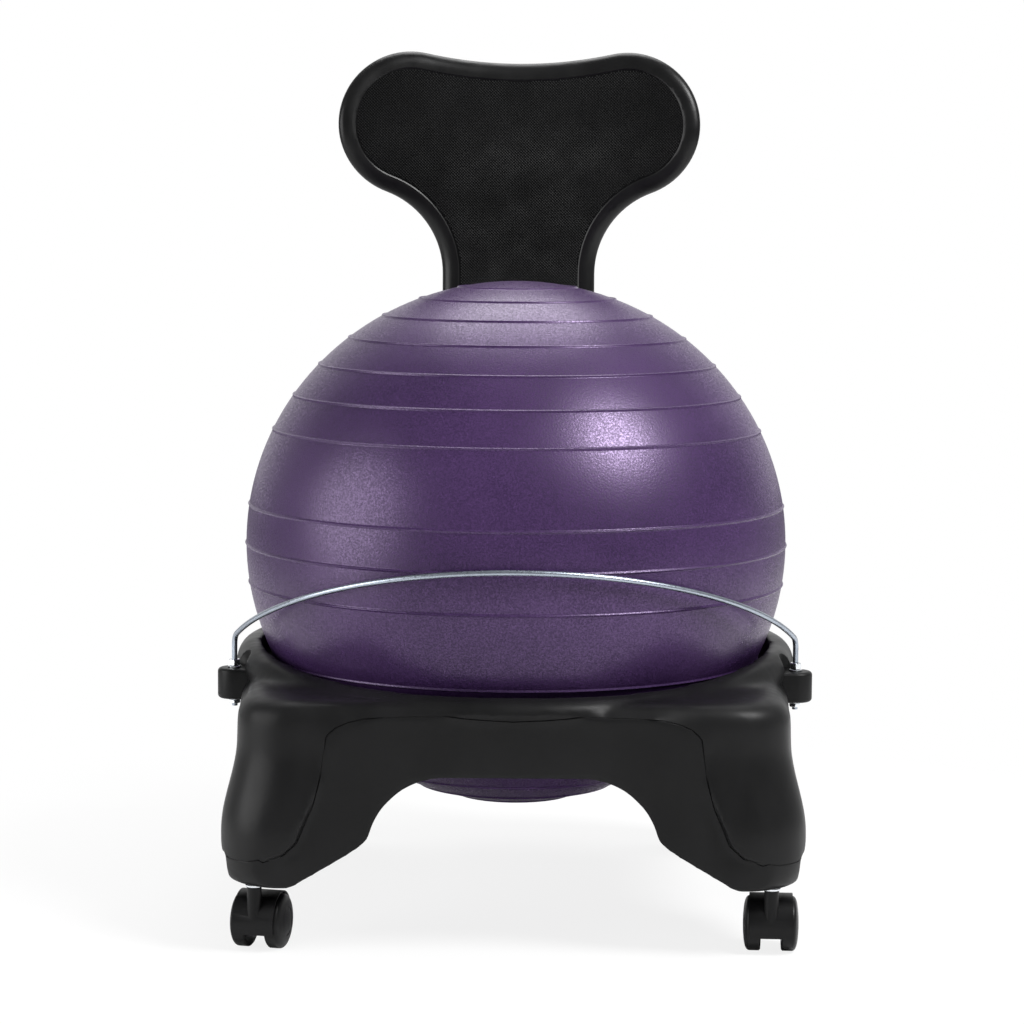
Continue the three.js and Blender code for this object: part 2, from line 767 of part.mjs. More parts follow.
// Caster pieces, round the stem's axis, with the wheels trailing towards +Y
function stemShape() {
  const tip = footHeight + stemReach;
  const groove = tip - gripGrooveDrop;
  return turned([
    [0, neckTop - stemSink],
    [stemRadius, neckTop - stemSink],
    [stemRadius, collarBottom],
    [collarRadius, collarBottom],
    [collarRadius, collarTop],
    [stemRadius, collarTop],
    [stemRadius, groove - gripGrooveWidth],
    [stemRadius - gripGrooveDepth, groove - gripGrooveWidth],
    [stemRadius - gripGrooveDepth, groove],
    [stemRadius, groove],
    [stemRadius, tip - stemTip],
    [stemRadius - stemTip, tip],
    [0, tip],
  ]);
}

function sleeveShape() {
  const inner = stemRadius + boreClearance;
  return turned([
    [inner, footHeight],
    [sleeveRadius, footHeight],
    [sleeveRadius, sleeveTop - sleeveLead],
    [sleeveRadius - sleeveLead, sleeveTop],
    [inner, sleeveTop],
    [inner, footHeight],
  ]);
}

function pedalPinPlace() {
  const angle = radians(pedalPinDegrees);
  return [casterTrail + pinOrbit * Math.cos(angle), wheelRadius + pinOrbit * Math.sin(angle)];
}

// Space under a hood's skirt, which hangs low in front and is cut high at the back.
function skirtCut(length, back) {
  const outline = new THREE.Shape();
  outline.moveTo(-length, -overrun);
  outline.lineTo(back, -overrun);
  outline.lineTo(back, fenderBackHeight);
  outline.lineTo(casterTrail + fenderRadius, fenderBackHeight);
  outline.lineTo(casterTrail - fenderRadius, fenderFrontHeight);
  outline.lineTo(-length, fenderFrontHeight);
  outline.closePath();
  const cut = new THREE.ExtrudeGeometry(outline, { depth: 2 * length, bevelEnabled: false });
  return cut.rotateZ(Math.PI / 2).rotateY(Math.PI / 2).translate(-length, 0, 0);
}

function hoodShape(locks) {
  const length = fenderHalfWidth + overrun;
  const wheelSpace = wheelRadius + fenderGap;
  const axle = [casterTrail, wheelRadius];
  const drum = barAlongX(fenderRadius, -fenderHalfWidth, fenderHalfWidth, ...axle, wheelSteps);
  let shape = solid(drum);
  if (locks) {
    for (const side of [-1, 1]) {
      const near = side * (pedalHalfWidth + earGap);
      const far = near + side * earThickness;
      const ends = [Math.min(near, far), Math.max(near, far)];
      shape = shape.add(solid(barAlongX(earRadius, ...ends, ...pedalPinPlace())));
    }
    const pin = barAlongX(pedalPinRadius + boreClearance, -length, length, ...pedalPinPlace());
    shape = shape.subtract(solid(pin));
  }
  const back = casterTrail + fenderRadius + overrun;
  shape = shape.subtract(solid(skirtCut(length, back)));
  for (const ends of [[-length, -webHalfWidth], [webHalfWidth, length]]) {
    shape = shape.subtract(solid(barAlongX(wheelSpace, ...ends, ...axle, wheelSteps)));
  }
  const web = solid(barAlongX(webRadius, -webHalfWidth, webHalfWidth, ...axle, wheelSteps));
  const underside = solid(block(-length, length, -length, back, -overrun, webFloorGap));
  shape = shape.add(web.subtract(underside));
  shape = shape.add(solid(roundBar(neckRadius, wheelRadius, neckTop, smallSteps)));
  const stemBore = roundBar(stemRadius + boreClearance, neckTop - stemSink - seatGap, neckTop + overrun);
  shape = shape.subtract(solid(stemBore));
  return shape.subtract(solid(barAlongX(axleRadius + boreClearance, -length, length, ...axle)));
}

// Wheel for the side towards +X: tread, domed outer face and a blind axle bore.
function wheelShape() {
  const inner = webHalfWidth + wheelGap;
  const outer = inner + wheelWidth;
  const tread = wheelRadius / Math.cos(Math.PI / wheelSteps);
  const bore = axleRadius + boreClearance;
  const domeStart = outer - wheelDome;
  const dome = [];
  for (let step = 0; step <= edgeSteps; step++) {
    const angle = (step / (edgeSteps + 1)) * (Math.PI / 2);
    const radius = tread - (tread - wheelDome) * (1 - Math.cos(angle)) ** 1.5;
    dome.push([radius, domeStart + wheelDome * Math.sin(angle)]);
  }
  const profile = [
    [0, outer - wheelCapWall],
    [bore, outer - wheelCapWall],
    [bore, inner],
    [tread, inner],
    ...dome,
    [0, outer],
  ];
  return turned(profile, wheelSteps).rotateZ(Math.PI / wheelSteps).rotateY(Math.PI / 2);
}

// Pedal drawn pressed against the fender, then let up round its pin.
function pedalShape() {
  const [pinY, pinZ] = pedalPinPlace();
  const inner = fenderRadius + pedalGap;
  const outer = inner + pedalThickness;
  const end = radians(pedalEndDegrees);
  const start = radians(pedalPinDegrees);
  const outline = new THREE.Shape();
  outline.absarc(casterTrail, wheelRadius, outer, start, end, true);
  const toe = outer + pedalToeLength;
  outline.lineTo(casterTrail + toe * Math.cos(end), wheelRadius + outer * Math.sin(end));
  outline.lineTo(casterTrail + toe * Math.cos(end), wheelRadius + outer * Math.sin(end) - pedalThickness);
  outline.lineTo(casterTrail + inner * Math.cos(end), wheelRadius + inner * Math.sin(end) - pedalThickness);
  outline.absarc(casterTrail, wheelRadius, inner, end, start, false);
  const plate = new THREE.ExtrudeGeometry(outline, {
    depth: 2 * pedalHalfWidth,
    bevelEnabled: false,
    curveSegments: cornerSteps / 2,
  });
  plate.rotateZ(Math.PI / 2).rotateY(Math.PI / 2);
  plate.translate(-pedalHalfWidth, 0, 0);
  const hub = barAlongX(pedalHubRadius, -pedalHalfWidth, pedalHalfWidth, pinY, pinZ);
  const bore = barAlongX(pedalPinRadius + boreClearance, -overrun, overrun, pinY, pinZ);
  const geometry = geometryOf(solid(plate).add(solid(hub)).subtract(solid(bore)));
  geometry.translate(0, -pinY, -pinZ).rotateX(radians(pedalReleaseDegrees));
  return geometry.translate(0, pinY, pinZ);
}

function makeCaster({ name, side, end, turnDegrees, locks }) {
  const place = new THREE.Group();
  place.position.set(side * casterHalfSpacing, end * casterHalfSpacing, 0);
  place.rotation.z = radians(turnDegrees);
  chair.add(place);
  addPiece(`${name}_socket_sleeve`, sleeveShape(), greyAcetal(), place);
  addPiece(`${name}_stem`, stemShape(), brightSteel(), place);
  addPiece(`${name}_hood`, hoodShape(locks), blackNylon(), place);
  const half = axleLength / 2;
  const axle = barAlongX(axleRadius, -half, half, casterTrail, wheelRadius);
  addPiece(`${name}_axle`, axle, brightSteel(), place);
  const wheel = wheelShape();
  for (const hand of [-1, 1]) {
    const word = hand < 0 ? "left" : "right";
    const turnedWheel = wheel.clone().rotateZ(hand < 0 ? Math.PI : 0);
    turnedWheel.translate(0, casterTrail, wheelRadius);
    addPiece(`${name}_wheel_${word}`, turnedWheel, blackNylon(), place);
  }
  if (!locks) return;
  addPiece(`${name}_lock_pedal`, pedalShape(), greyAcetal(), place);
  const reach = pedalHalfWidth + earGap + earThickness;
  const pin = barAlongX(pedalPinRadius, -reach, reach, ...pedalPinPlace(), smallSteps / 2);
  addPiece(`${name}_pedal_pin`, pin, brightSteel(), place);
}

makeBase();
makeBackrest();
makeBall();
makeSupportBar();
casterPlaces.forEach(makeCaster);

// The part's origin is on the floor, under the middle of its box.
const box = new THREE.Box3().setFromObject(chair, true);
chair.position.set(-(box.min.x + box.max.x) / 2, -(box.min.y + box.max.y) / 2, -box.min.z);

const part = new THREE.Group();
part.add(chair);
export default part;
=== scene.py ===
import math

import bmesh
import bpy
from mathutils import Matrix, Vector
from mathutils.bvhtree import BVHTree


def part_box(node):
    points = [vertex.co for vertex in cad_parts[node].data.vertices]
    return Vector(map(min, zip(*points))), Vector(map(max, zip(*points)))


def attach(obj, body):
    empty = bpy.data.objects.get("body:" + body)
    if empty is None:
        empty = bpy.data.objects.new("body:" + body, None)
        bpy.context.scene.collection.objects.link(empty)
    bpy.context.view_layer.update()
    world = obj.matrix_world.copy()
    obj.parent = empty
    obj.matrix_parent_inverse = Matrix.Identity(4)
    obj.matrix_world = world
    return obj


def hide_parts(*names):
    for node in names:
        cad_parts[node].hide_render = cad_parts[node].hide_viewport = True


# Balance ball chair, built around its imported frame. Metres, +Z up, the sitter faces -Y.
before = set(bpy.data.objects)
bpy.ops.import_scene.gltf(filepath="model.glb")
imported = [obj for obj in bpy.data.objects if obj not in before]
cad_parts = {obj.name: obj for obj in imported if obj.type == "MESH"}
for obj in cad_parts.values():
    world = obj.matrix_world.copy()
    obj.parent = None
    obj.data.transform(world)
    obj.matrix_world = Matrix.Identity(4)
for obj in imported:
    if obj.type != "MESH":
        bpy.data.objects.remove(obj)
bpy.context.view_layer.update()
scene = bpy.context.scene

ballLow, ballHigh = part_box("ball")
axisY = (ballLow.y + ballHigh.y) / 2  # the ball's upright axis stands at x 0, y axisY
toAxis = Matrix.Translation((0, axisY, 0))
swapXY = Matrix(((0, 1, 0, 0), (1, 0, 0, 0), (0, 0, 1, 0), (0, 0, 0, 1)))  # an outline in X and Z to Y and Z
swapYZ = Matrix(((1, 0, 0, 0), (0, 0, 1, 0), (0, 1, 0, 0), (0, 0, 0, 1)))  # an outline in X and Z to X and Y
sideways = Matrix.Rotation(math.pi / 2, 4, "Y")  # lays a piece turned round Z along X
quarterTurns = [Matrix.Rotation(quarter * math.pi / 2, 4, "Z") for quarter in range(4)]
mergeGap = 1e-6
print("frame loaded")


# helpers that make, join and finish shapes
def spun(profile, steps, closed=False):
    # a profile of (radius, height) turned once round the Z axis
    shape = bmesh.new()
    verts = [shape.verts.new((radius, 0, height)) for radius, height in profile]
    pairs = list(zip(verts, verts[1:])) + ([(verts[-1], verts[0])] if closed else [])
    edges = [shape.edges.new(pair) for pair in pairs]
    bmesh.ops.spin(shape, geom=verts + edges, cent=(0, 0, 0), axis=(0, 0, 1), dvec=(0, 0, 0),
                   angle=2 * math.pi, steps=steps, use_merge=True, use_duplicate=False)
    bmesh.ops.remove_doubles(shape, verts=shape.verts, dist=mergeGap)
    bmesh.ops.recalc_face_normals(shape, faces=shape.faces)
    return shape


def bar(radius, low, high, steps=48):
    shape = bmesh.new()
    bmesh.ops.create_cone(shape, cap_ends=True, segments=steps, radius1=radius, radius2=radius,
                          depth=high - low, matrix=Matrix.Translation((0, 0, (low + high) / 2)))
    return shape


def block(low, high):
    shape = bmesh.new()
    middle = [(a + b) / 2 for a, b in zip(low, high)]
    size = [b - a for a, b in zip(low, high)]
    bmesh.ops.create_cube(shape, size=1, matrix=Matrix.Translation(middle) @ Matrix.Diagonal((*size, 1)))
    return shape


def arcPoints(centre, radius, start, end, steps):
    # points of an arc in a plane, ends included
    turns = [start + (end - start) * step / steps for step in range(steps + 1)]
    return [(centre[0] + radius * math.cos(turn), centre[1] + radius * math.sin(turn)) for turn in turns]


def pushed(shape, geometry, way):
    # extrudes a face and moves what that makes
    made = bmesh.ops.extrude_face_region(shape, geom=geometry)["geom"]
    verts = [item for item in made if isinstance(item, bmesh.types.BMVert)]
    bmesh.ops.translate(shape, verts=verts, vec=way)
    return verts, [item for item in made if isinstance(item, bmesh.types.BMFace)]


def slab(outline, front, back):
    # an outline in X and Z, pushed along Y
    shape = bmesh.new()
    face = shape.faces.new([shape.verts.new((x, front, z)) for x, z in outline])
    pushed(shape, [face], (0, back - front, 0))
    bmesh.ops.recalc_face_normals(shape, faces=shape.faces)
    return shape


def moved(shape, matrix):
    bmesh.ops.transform(shape, matrix=matrix, verts=shape.verts)
    if matrix.determinant() < 0:
        bmesh.ops.reverse_faces(shape, faces=shape.faces)
    return shape


def meshOf(made):
    # the mesh of an object that was only needed to shape it
    mesh = made.data
    bpy.data.objects.remove(made)
    return mesh


def shapeOf(made):
    # the same as a bmesh, to cut or join with
    shape = bmesh.new()
    shape.from_mesh(meshOf(made))
    return shape


def loose(name, shape):
    # an object in the scene that holds a shape
    mesh = bpy.data.meshes.new(name)
    shape.to_mesh(mesh)
    shape.free()
    made = bpy.data.objects.new(name, mesh)
    scene.collection.objects.link(made)
    return made


def settled(made):
    # applies the object's modifiers to its mesh
    view = bpy.context.evaluated_depsgraph_get()
    mesh = bpy.data.meshes.new_from_object(made.evaluated_get(view))
    made.modifiers.clear()
    old, made.data = made.data, mesh
    bpy.data.meshes.remove(old)
    return made


def tube(name, points, radius, resolution, closed=False):
    # a round tube along a line of points, as a mesh object
    data = bpy.data.curves.new(name, "CURVE")
    data.dimensions = "3D"
    data.bevel_depth, data.bevel_resolution, data.use_fill_caps = radius, resolution, not closed
    line = data.splines.new("POLY")
    line.points.add(len(points) - 1)
    line.use_cyclic_u = closed
    for spot, point in zip(line.points, points):
        spot.co = (*point, 1)
    curve = bpy.data.objects.new(name + "Curve", data)
    scene.collection.objects.link(curve)
    view = bpy.context.evaluated_depsgraph_get()
    mesh = bpy.data.meshes.new_from_object(curve.evaluated_get(view))
    bpy.data.objects.remove(curve)
    made = bpy.data.objects.new(name, mesh)
    scene.collection.objects.link(made)
    return made


def combined(made, shapes, operation):
    # cuts or joins shapes into an object, one after the other
    for shape in shapes:
        tool = loose("tool", shape)
        change = made.modifiers.new("change", "BOOLEAN")
        change.operation, change.solver, change.object = operation, "EXACT", tool
        settled(made)
        bpy.data.objects.remove(tool)
    return made


def softened(made, width, segments=2, degrees=35):
    # a small round on the sharp edges
    edge = made.modifiers.new("edge", "BEVEL")
    edge.width, edge.segments, edge.limit_method = width, segments, "ANGLE"
    edge.angle_limit = math.radians(degrees)
    return settled(made)


def finished(made, body, finish, replaced, sharpDegrees=38):
    # gives a piece its smooth faces, material, body and the nodes that it stands for
    mesh = made.data
    mesh.shade_smooth()
    mesh.set_sharp_from_angle(angle=math.radians(sharpDegrees))
    if not mesh.materials:
        mesh.materials.append(finish)
    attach(made, body)
    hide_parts(*replaced)
    return made


def aimed(spot, aim):
    # the place of a camera or a lamp that looks from spot at aim
    turn = (aim - Vector(spot)).to_track_quat("-Z", "Y")
    return Matrix.Translation(spot) @ turn.to_matrix().to_4x4()


# helpers that build the finishes out of nodes
def startFinish(name, colour, roughness, metallic=0.0, specular=0.5):
    finish = bpy.data.materials.new(name)
    finish.use_nodes = True
    nodes, links = finish.node_tree.nodes, finish.node_tree.links
    shader = nodes["Principled BSDF"]
    shader.inputs["Base Color"].default_value = (*colour, 1)
    shader.inputs["Roughness"].default_value = roughness
    shader.inputs["Metallic"].default_value = metallic
    shader.inputs["Specular IOR Level"].default_value = specular
    place = nodes.new("ShaderNodeTexCoord")
    return finish, nodes, links, shader, place.outputs["Object"]


def noise(nodes, links, place, scale, detail=2.0, stretch=(1, 1, 1)):
    mapping = nodes.new("ShaderNodeMapping")
    mapping.inputs["Scale"].default_value = stretch
    links.new(place, mapping.inputs["Vector"])
    texture = nodes.new("ShaderNodeTexNoise")
    texture.inputs["Scale"].default_value = scale
    texture.inputs["Detail"].default_value = detail
    links.new(mapping.outputs["Vector"], texture.inputs["Vector"])
    return texture.outputs["Fac"]


def ranged(nodes, links, value, low, high, fromLow=0.3, fromHigh=0.7):
    spread = nodes.new("ShaderNodeMapRange")
    for key, number in (("From Min", fromLow), ("From Max", fromHigh), ("To Min", low), ("To Max", high)):
        spread.inputs[key].default_value = number
    links.new(value, spread.inputs["Value"])
    return spread.outputs["Result"]


def tinted(nodes, links, factor, first, second):
    mix = nodes.new("ShaderNodeMix")
    mix.data_type = "RGBA"
    mix.inputs["A"].default_value = (*first, 1)
    mix.inputs["B"].default_value = (*second, 1)
    links.new(factor, mix.inputs["Factor"])
    return mix.outputs["Result"]


def bumped(nodes, links, height, strength, distance, before=None):
    bump = nodes.new("ShaderNodeBump")
    bump.inputs["Strength"].default_value = strength
    bump.inputs["Distance"].default_value = distance
    links.new(height, bump.inputs["Height"])
    if before:
        links.new(before, bump.inputs["Normal"])
    return bump.outputs["Normal"]


def worked(nodes, links, operation, *values):
    # a Math node on numbers and on the outputs of other nodes
    step = nodes.new("ShaderNodeMath")
    step.operation = operation
    for socket, value in zip(step.inputs, values):
        if isinstance(value, float):
            socket.default_value = value
        else:
            links.new(value, socket)
    return step.outputs["Value"]


# moulded plastic: fine grain, uneven gloss and, where it was drawn from its mould, faint streaks
plasticSettings = {
    "cloudScale": 11, "cloudDark": 0.82, "cloudPale": 1.25, "paleLift": 0.0008,
    "glossScale": 38, "glossStretch": (1, 1, 0.16), "glossDrop": 0.06, "glossRise": 0.09,
    "grainStrength": 0.22, "grainDepth": 0.0002,
    "streakScale": 150, "streakStretch": (1, 1, 0.06), "streakDepth": 0.0004,
}


def plastic(name, colour, roughness, grain, specular=0.5, streaks=0.0, s=plasticSettings):
    finish, nodes, links, shader, place = startFinish(name, colour, roughness, specular=specular)
    cloud = ranged(nodes, links, noise(nodes, links, place, s["cloudScale"], 4), 0, 1)
    dark = tuple(part * s["cloudDark"] for part in colour)
    pale = tuple(part * s["cloudPale"] + s["paleLift"] for part in colour)
    links.new(tinted(nodes, links, cloud, dark, pale), shader.inputs["Base Color"])
    gloss = noise(nodes, links, place, s["glossScale"], 5, s["glossStretch"] if streaks else (1, 1, 1))
    spread = ranged(nodes, links, gloss, roughness - s["glossDrop"], roughness + s["glossRise"])
    links.new(spread, shader.inputs["Roughness"])
    skin = noise(nodes, links, place, grain, 3)
    normal = bumped(nodes, links, skin, s["grainStrength"], s["grainDepth"])
    if streaks:
        drag = noise(nodes, links, place, s["streakScale"], 3, s["streakStretch"])
        normal = bumped(nodes, links, drag, streaks, s["streakDepth"], normal)
    links.new(normal, shader.inputs["Normal"])
    return finish


# plated steel: a fine spangle in gloss and bump, and a faint cloud in its colour
steelSettings = {
    "spangleScale": 420, "glossDrop": 0.05, "glossRise": 0.1, "cloudScale": 90, "cloudDark": 0.86,
    "bumpStrength": 0.12, "bumpDepth": 0.0001,
}


def steel(name, colour, roughness, s=steelSettings):
    finish, nodes, links, shader, place = startFinish(name, colour, roughness, metallic=1.0)
    spangle = noise(nodes, links, place, s["spangleScale"], 4)
    spread = ranged(nodes, links, spangle, roughness - s["glossDrop"], roughness + s["glossRise"])
    links.new(spread, shader.inputs["Roughness"])
    cloud = ranged(nodes, links, noise(nodes, links, place, s["cloudScale"], 3), 0, 1)
    dark = tuple(part * s["cloudDark"] for part in colour)
    links.new(tinted(nodes, links, cloud, dark, colour), shader.inputs["Base Color"])
    links.new(bumped(nodes, links, spangle, s["bumpStrength"], s["bumpDepth"]), shader.inputs["Normal"])
    return finish


basePlastic = plastic("basePlastic", (0.0068, 0.0068, 0.0071), 0.38, 900, specular=0.15, streaks=0.1)
bladePlastic = plastic("bladePlastic", (0.0036, 0.0036, 0.0038), 0.33, 1100, specular=0.24)
fieldPlastic = plastic("fieldPlastic", (0.0028, 0.0028, 0.003), 0.4, 1500, specular=0.055)
casterNylon = plastic("casterNylon", (0.0046, 0.0046, 0.0049), 0.34, 1400, specular=0.17)
greyAcetal = plastic("greyAcetal", (0.042, 0.042, 0.044), 0.42, 1200)
paleRubber = plastic("paleRubber", (0.105, 0.062, 0.17), 0.55, 900)
zincSteel = steel("zincSteel", (0.36, 0.4, 0.46), 0.3)
brightSteel = steel("brightSteel", (0.72, 0.74, 0.77), 0.18)


# camera, from the ball's outline in the photograph
cameraSettings = {
    "side": 0.010, "distance": 3.038, "height": 0.705,
    "aimSide": -0.004, "aimHeight": 0.3771, "lens": 111.07, "sensor": 36, "rollDegrees": 0.35,
}


def makeCamera(s):
    data = bpy.data.cameras.new("camera")
    data.lens, data.sensor_width, data.sensor_fit = s["lens"], s["sensor"], "HORIZONTAL"
    camera = bpy.data.objects.new("camera", data)
    scene.collection.objects.link(camera)
    eye = Vector((s["side"], axisY - s["distance"], s["height"]))
    aim = Vector((s["aimSide"], axisY, s["aimHeight"]))
    camera.matrix_world = aimed(eye, aim) @ Matrix.Rotation(math.radians(s["rollDegrees"]), 4, "Z")
    scene.camera = camera


makeCamera(cameraSettings)
print("camera set")


# ball: an inflated vinyl shell with thin raised ribs
ballSettings = {
    "radius": 0.26, "halfHeight": 0.251, "steps": 288,
    "ribPitch": 8.6, "ribs": (0, 1, 3, 4, 5, 6, 7, 8, 9), "ribHeight": 0.0012, "ribHalfWidth": 0.0017,
    "ribShares": (-1.7, -1.25, -1, -0.6, -0.25, 0, 0.25, 0.6, 1, 1.25, 1.7),  # rings over each rib
    "plainStep": 2.0, "plainGap": 2.2,
}
vinylSettings = {
    "deep": (0.017, 0.0045, 0.037), "pearl": (0.064, 0.031, 0.104), "tint": (0.68, 0.6, 0.74, 1),
    "roughness": 0.34, "metallic": 0.15, "specular": 0.66, "cloudScale": 9, "cloudRange": (0.0, 0.4),
    "speckScale": 620, "speckRange": (0.42, 0.62), "speckShare": 0.75, "speckGloss": (0.43, 0.25),
    "skinScale": 560, "skinStrength": 0.45, "skinDepth": 0.0003,
}


def ballPoints(s):
    # half the ball's outline, from the lowest point to the highest
    pole = 90.0
    ribAngles = [sign * place * s["ribPitch"] for place in s["ribs"] for sign in (-1, 1)]
    half = math.degrees(s["ribHalfWidth"] / s["radius"])
    angles = {round(rib + half * share, 4) for rib in ribAngles for share in s["ribShares"]}
    angle = -pole
    while angle <= pole:
        if all(abs(angle - rib) > s["plainGap"] * half for rib in ribAngles):
            angles.add(round(angle, 4))
        angle += s["plainStep"]
    points = []
    for angle in sorted(angles):
        near = min(abs(angle - rib) for rib in ribAngles) / half
        rise = s["ribHeight"] * math.cos(min(near, 1) * math.pi / 2) ** 2
        turn = math.radians(angle)
        across = 0 if abs(angle) == pole else (s["radius"] + rise) * math.cos(turn)
        points.append((across, (s["halfHeight"] + rise) * math.sin(turn)))
    return points


def ballVinyl(s):
    # purple vinyl with a pearly speckle under its skin
    finish, nodes, links, shader, place = startFinish("ballVinyl", s["deep"], s["roughness"],
                                                      s["metallic"], s["specular"])
    shader.inputs["Specular Tint"].default_value = s["tint"]
    cloud = ranged(nodes, links, noise(nodes, links, place, s["cloudScale"], 3), *s["cloudRange"])
    speck = ranged(nodes, links, noise(nodes, links, place, s["speckScale"], 4), 0, 1, *s["speckRange"])
    blend = worked(nodes, links, "MULTIPLY_ADD", speck, s["speckShare"], cloud)
    links.new(tinted(nodes, links, blend, s["deep"], s["pearl"]), shader.inputs["Base Color"])
    links.new(ranged(nodes, links, speck, *s["speckGloss"], 0, 1), shader.inputs["Roughness"])
    skin = noise(nodes, links, place, s["skinScale"], 3)
    links.new(bumped(nodes, links, skin, s["skinStrength"], s["skinDepth"]), shader.inputs["Normal"])
    return finish


def makeBall(s):
    middle = ballHigh.z - s["halfHeight"]
    shape = moved(spun(ballPoints(s), s["steps"]), Matrix.Translation((0, axisY, middle)))
    finished(loose("ballShell", shape), "ball", ballVinyl(vinylSettings), ["ball"])


makeBall(ballSettings)
print("ball made")


# base: a blow-moulded shell with four flared legs, flat panels and a round rim
baseSettings = {
    "foot": 0.0628, "deck": 0.2348, "skirt": 0.2665, "corner": 0.058, "footRound": (0.010, 0.027),
    "flareLow": 0.046, "flareHeight": 0.082,  # over the foot
    "shoulder": 0.2525, "shoulderRise": 0.169, "shoulderRound": 0.018, "panel": 0.255,
    "archTop": 0.1638, "archFlat": 0.062, "archRadius": 0.07, "archTurn": 14,
    "toe": (0.1615, 0.023), "heel": (0.197, 0.002), "heelRun": 0.005,
    "crown": ((0, 0.2178), (0.03, 0.219), (0.06, 0.2206), (0.09, 0.2214), (0.115, 0.2206), (0.135, 0.2182),
              (0.15, 0.2142), (0.16, 0.2092), (0.1662, 0.2035)),
    "crease": ((0.1682, 0.2007), (0.173, 0.1648), (0.181, 0.1388), (0.189, 0.1208), (0.1948, 0.1058),
               (0.2068, 0.0948), (0.2247, 0.0898)),
    "band": ((0.19, 0.255), (0.225, 0.2588), (0.252, 0.2672)), "bandSide": 0.285,
    "rimFront": 0.262, "rimSide": 0.27, "rimLift": 0.002, "rimDepth": 0.026, "rimTaper": 0.018,
    "rimRise": 0.019, "rimFade": 0.04, "rimRound": (0.0185, 0.0165), "riseDegrees": (20, 95), "rimSteps": 144,
    "well": 0.205, "wellTop": 0.1955, "seat": (0.2125, 0.2035), "relief": 0.2175,
    "mouth": 0.243, "mouthRound": 0.008, "mouthFlare": (0.0025, 0.0035),
    "padSide": 0.007, "padBack": 0.264, "padDrop": 0.006,
    "column": 0.0798, "channel": 0.258, "channelLow": 0.1695, "channelOver": 0.05,
    "caster": 0.234, "socket": (0.0085, 0.02, 0.105),  # radius, lowest and highest point
    "lug": (0.2663, -0.07), "lugRadius": 0.016, "lugThickness": 0.029, "lugEdge": 0.0035, "lugRoot": 0.028,
    "lugBore": (0.0029, 0.15, 0.26),
    "voxel": 0.003, "smoothing": (0.5, 6), "shelfSmoothing": (0.5, 60),
    "shelfCorner": (0.125, 0.165), "shelfReach": (0.246, 0.258), "shelfLow": (0.186, 0.206),
    "shelfHigh": (0.25, 0.258),
    "grooveRadius": 0.0008, "grooveHeight": 0.0875, "grooveStand": 0.001, "grooveCorner": 0.236,
    "grooveJoin": ((0.2285, 0.0012), (0.233, 0.0003)),
    "beyond": 0.31, "overrun": 0.04,  # how far the cutting shapes reach
}


def smoothStep(value, low, high):
    share = min(max((value - low) / (high - low), 0), 1)
    return share * share * (3 - 2 * share)


def legLoft(s):
    # the legs and their skirt, drawn up from one rounded square
    shape = bmesh.new()
    across, lift = s["footRound"]
    foot = s["skirt"] - across
    bmesh.ops.create_grid(shape, x_segments=1, y_segments=1, size=foot,
                          matrix=Matrix.Translation((0, 0, s["foot"])))
    bmesh.ops.bevel(shape, geom=shape.verts, offset=s["corner"], offset_type="OFFSET", segments=16,
                    profile=0.5, affect="VERTICES", material=-1)
    rows = []
    for step in range(1, 9):  # round of the foot
        turn = step / 8 * math.pi / 2
        rows.append((foot + across * math.sin(turn), lift * (1 - math.cos(turn))))
    for step in range(13):  # flare from the skirt up to the waist
        share = step / 12
        width = s["skirt"] - (s["skirt"] - s["shoulder"]) * smoothStep(share, 0, 1)
        rows.append((width, s["flareLow"] + s["flareHeight"] * share))
    for step in range(9):  # round of the shoulder
        turn = step / 8 * math.pi / 2
        rows.append((s["shoulder"] - s["shoulderRound"] * (1 - math.cos(turn)),
                     s["shoulderRise"] - s["shoulderRound"] * (1 - math.sin(turn))))
    face = shape.faces[:][0]
    width, rise = foot, 0
    for newWidth, newRise in rows:
        verts, made = pushed(shape, [face, *face.edges, *face.verts], (0, 0, newRise - rise))
        ratio = newWidth / width
        bmesh.ops.scale(shape, vec=(ratio, ratio, 1), verts=verts)
        face, width, rise = made[0], newWidth, newRise
    bmesh.ops.recalc_face_normals(shape, faces=shape.faces)
    return shape


def archShape(s):
    # the open space under one side and the one across from it
    turn = math.radians(s["archTurn"])
    centre = (s["archFlat"], s["archTop"] - s["archRadius"])
    toe = (s["toe"][0], s["foot"] + s["toe"][1])
    heel = (s["heel"][0], s["foot"] + s["heel"][1])
    right = arcPoints(centre, s["archRadius"], math.pi / 2, turn, 20)
    side = right[-1]
    slope = (toe[1] - heel[1]) / (heel[0] - toe[0])
    knee = (side[0], toe[1] + slope * (toe[0] - side[0]))
    for step in range(1, 13):
        t = step / 12
        right.append(tuple((1 - t) ** 2 * a + 2 * t * (1 - t) * k + t * t * b
                           for a, k, b in zip(side, knee, toe)))
    end = heel[0] + s["heelRun"]
    right += [heel, (end, s["foot"]), (end, s["foot"] - s["overrun"])]
    outline = right + [(-x, z) for x, z in reversed(right)]
    return slab(outline, -s["beyond"], s["beyond"])


def panelShape(s, front, back):
    right = [*s["crown"], *s["crease"]]
    return slab(right + [(-x, z) for x, z in reversed(right[1:])], front, back)


def bandShape(s):
    # the space in front of the band round the feet, which comes forward to the leg's outer corner
    right = [(x, -y) for x, y in s["band"]]
    right += [(s["beyond"], -s["bandSide"]), (s["beyond"], -s["beyond"])]
    outline = right + [(-x, y) for x, y in reversed(right)]
    return moved(slab(outline, s["foot"] - s["overrun"], s["crease"][-1][1]), swapYZ)


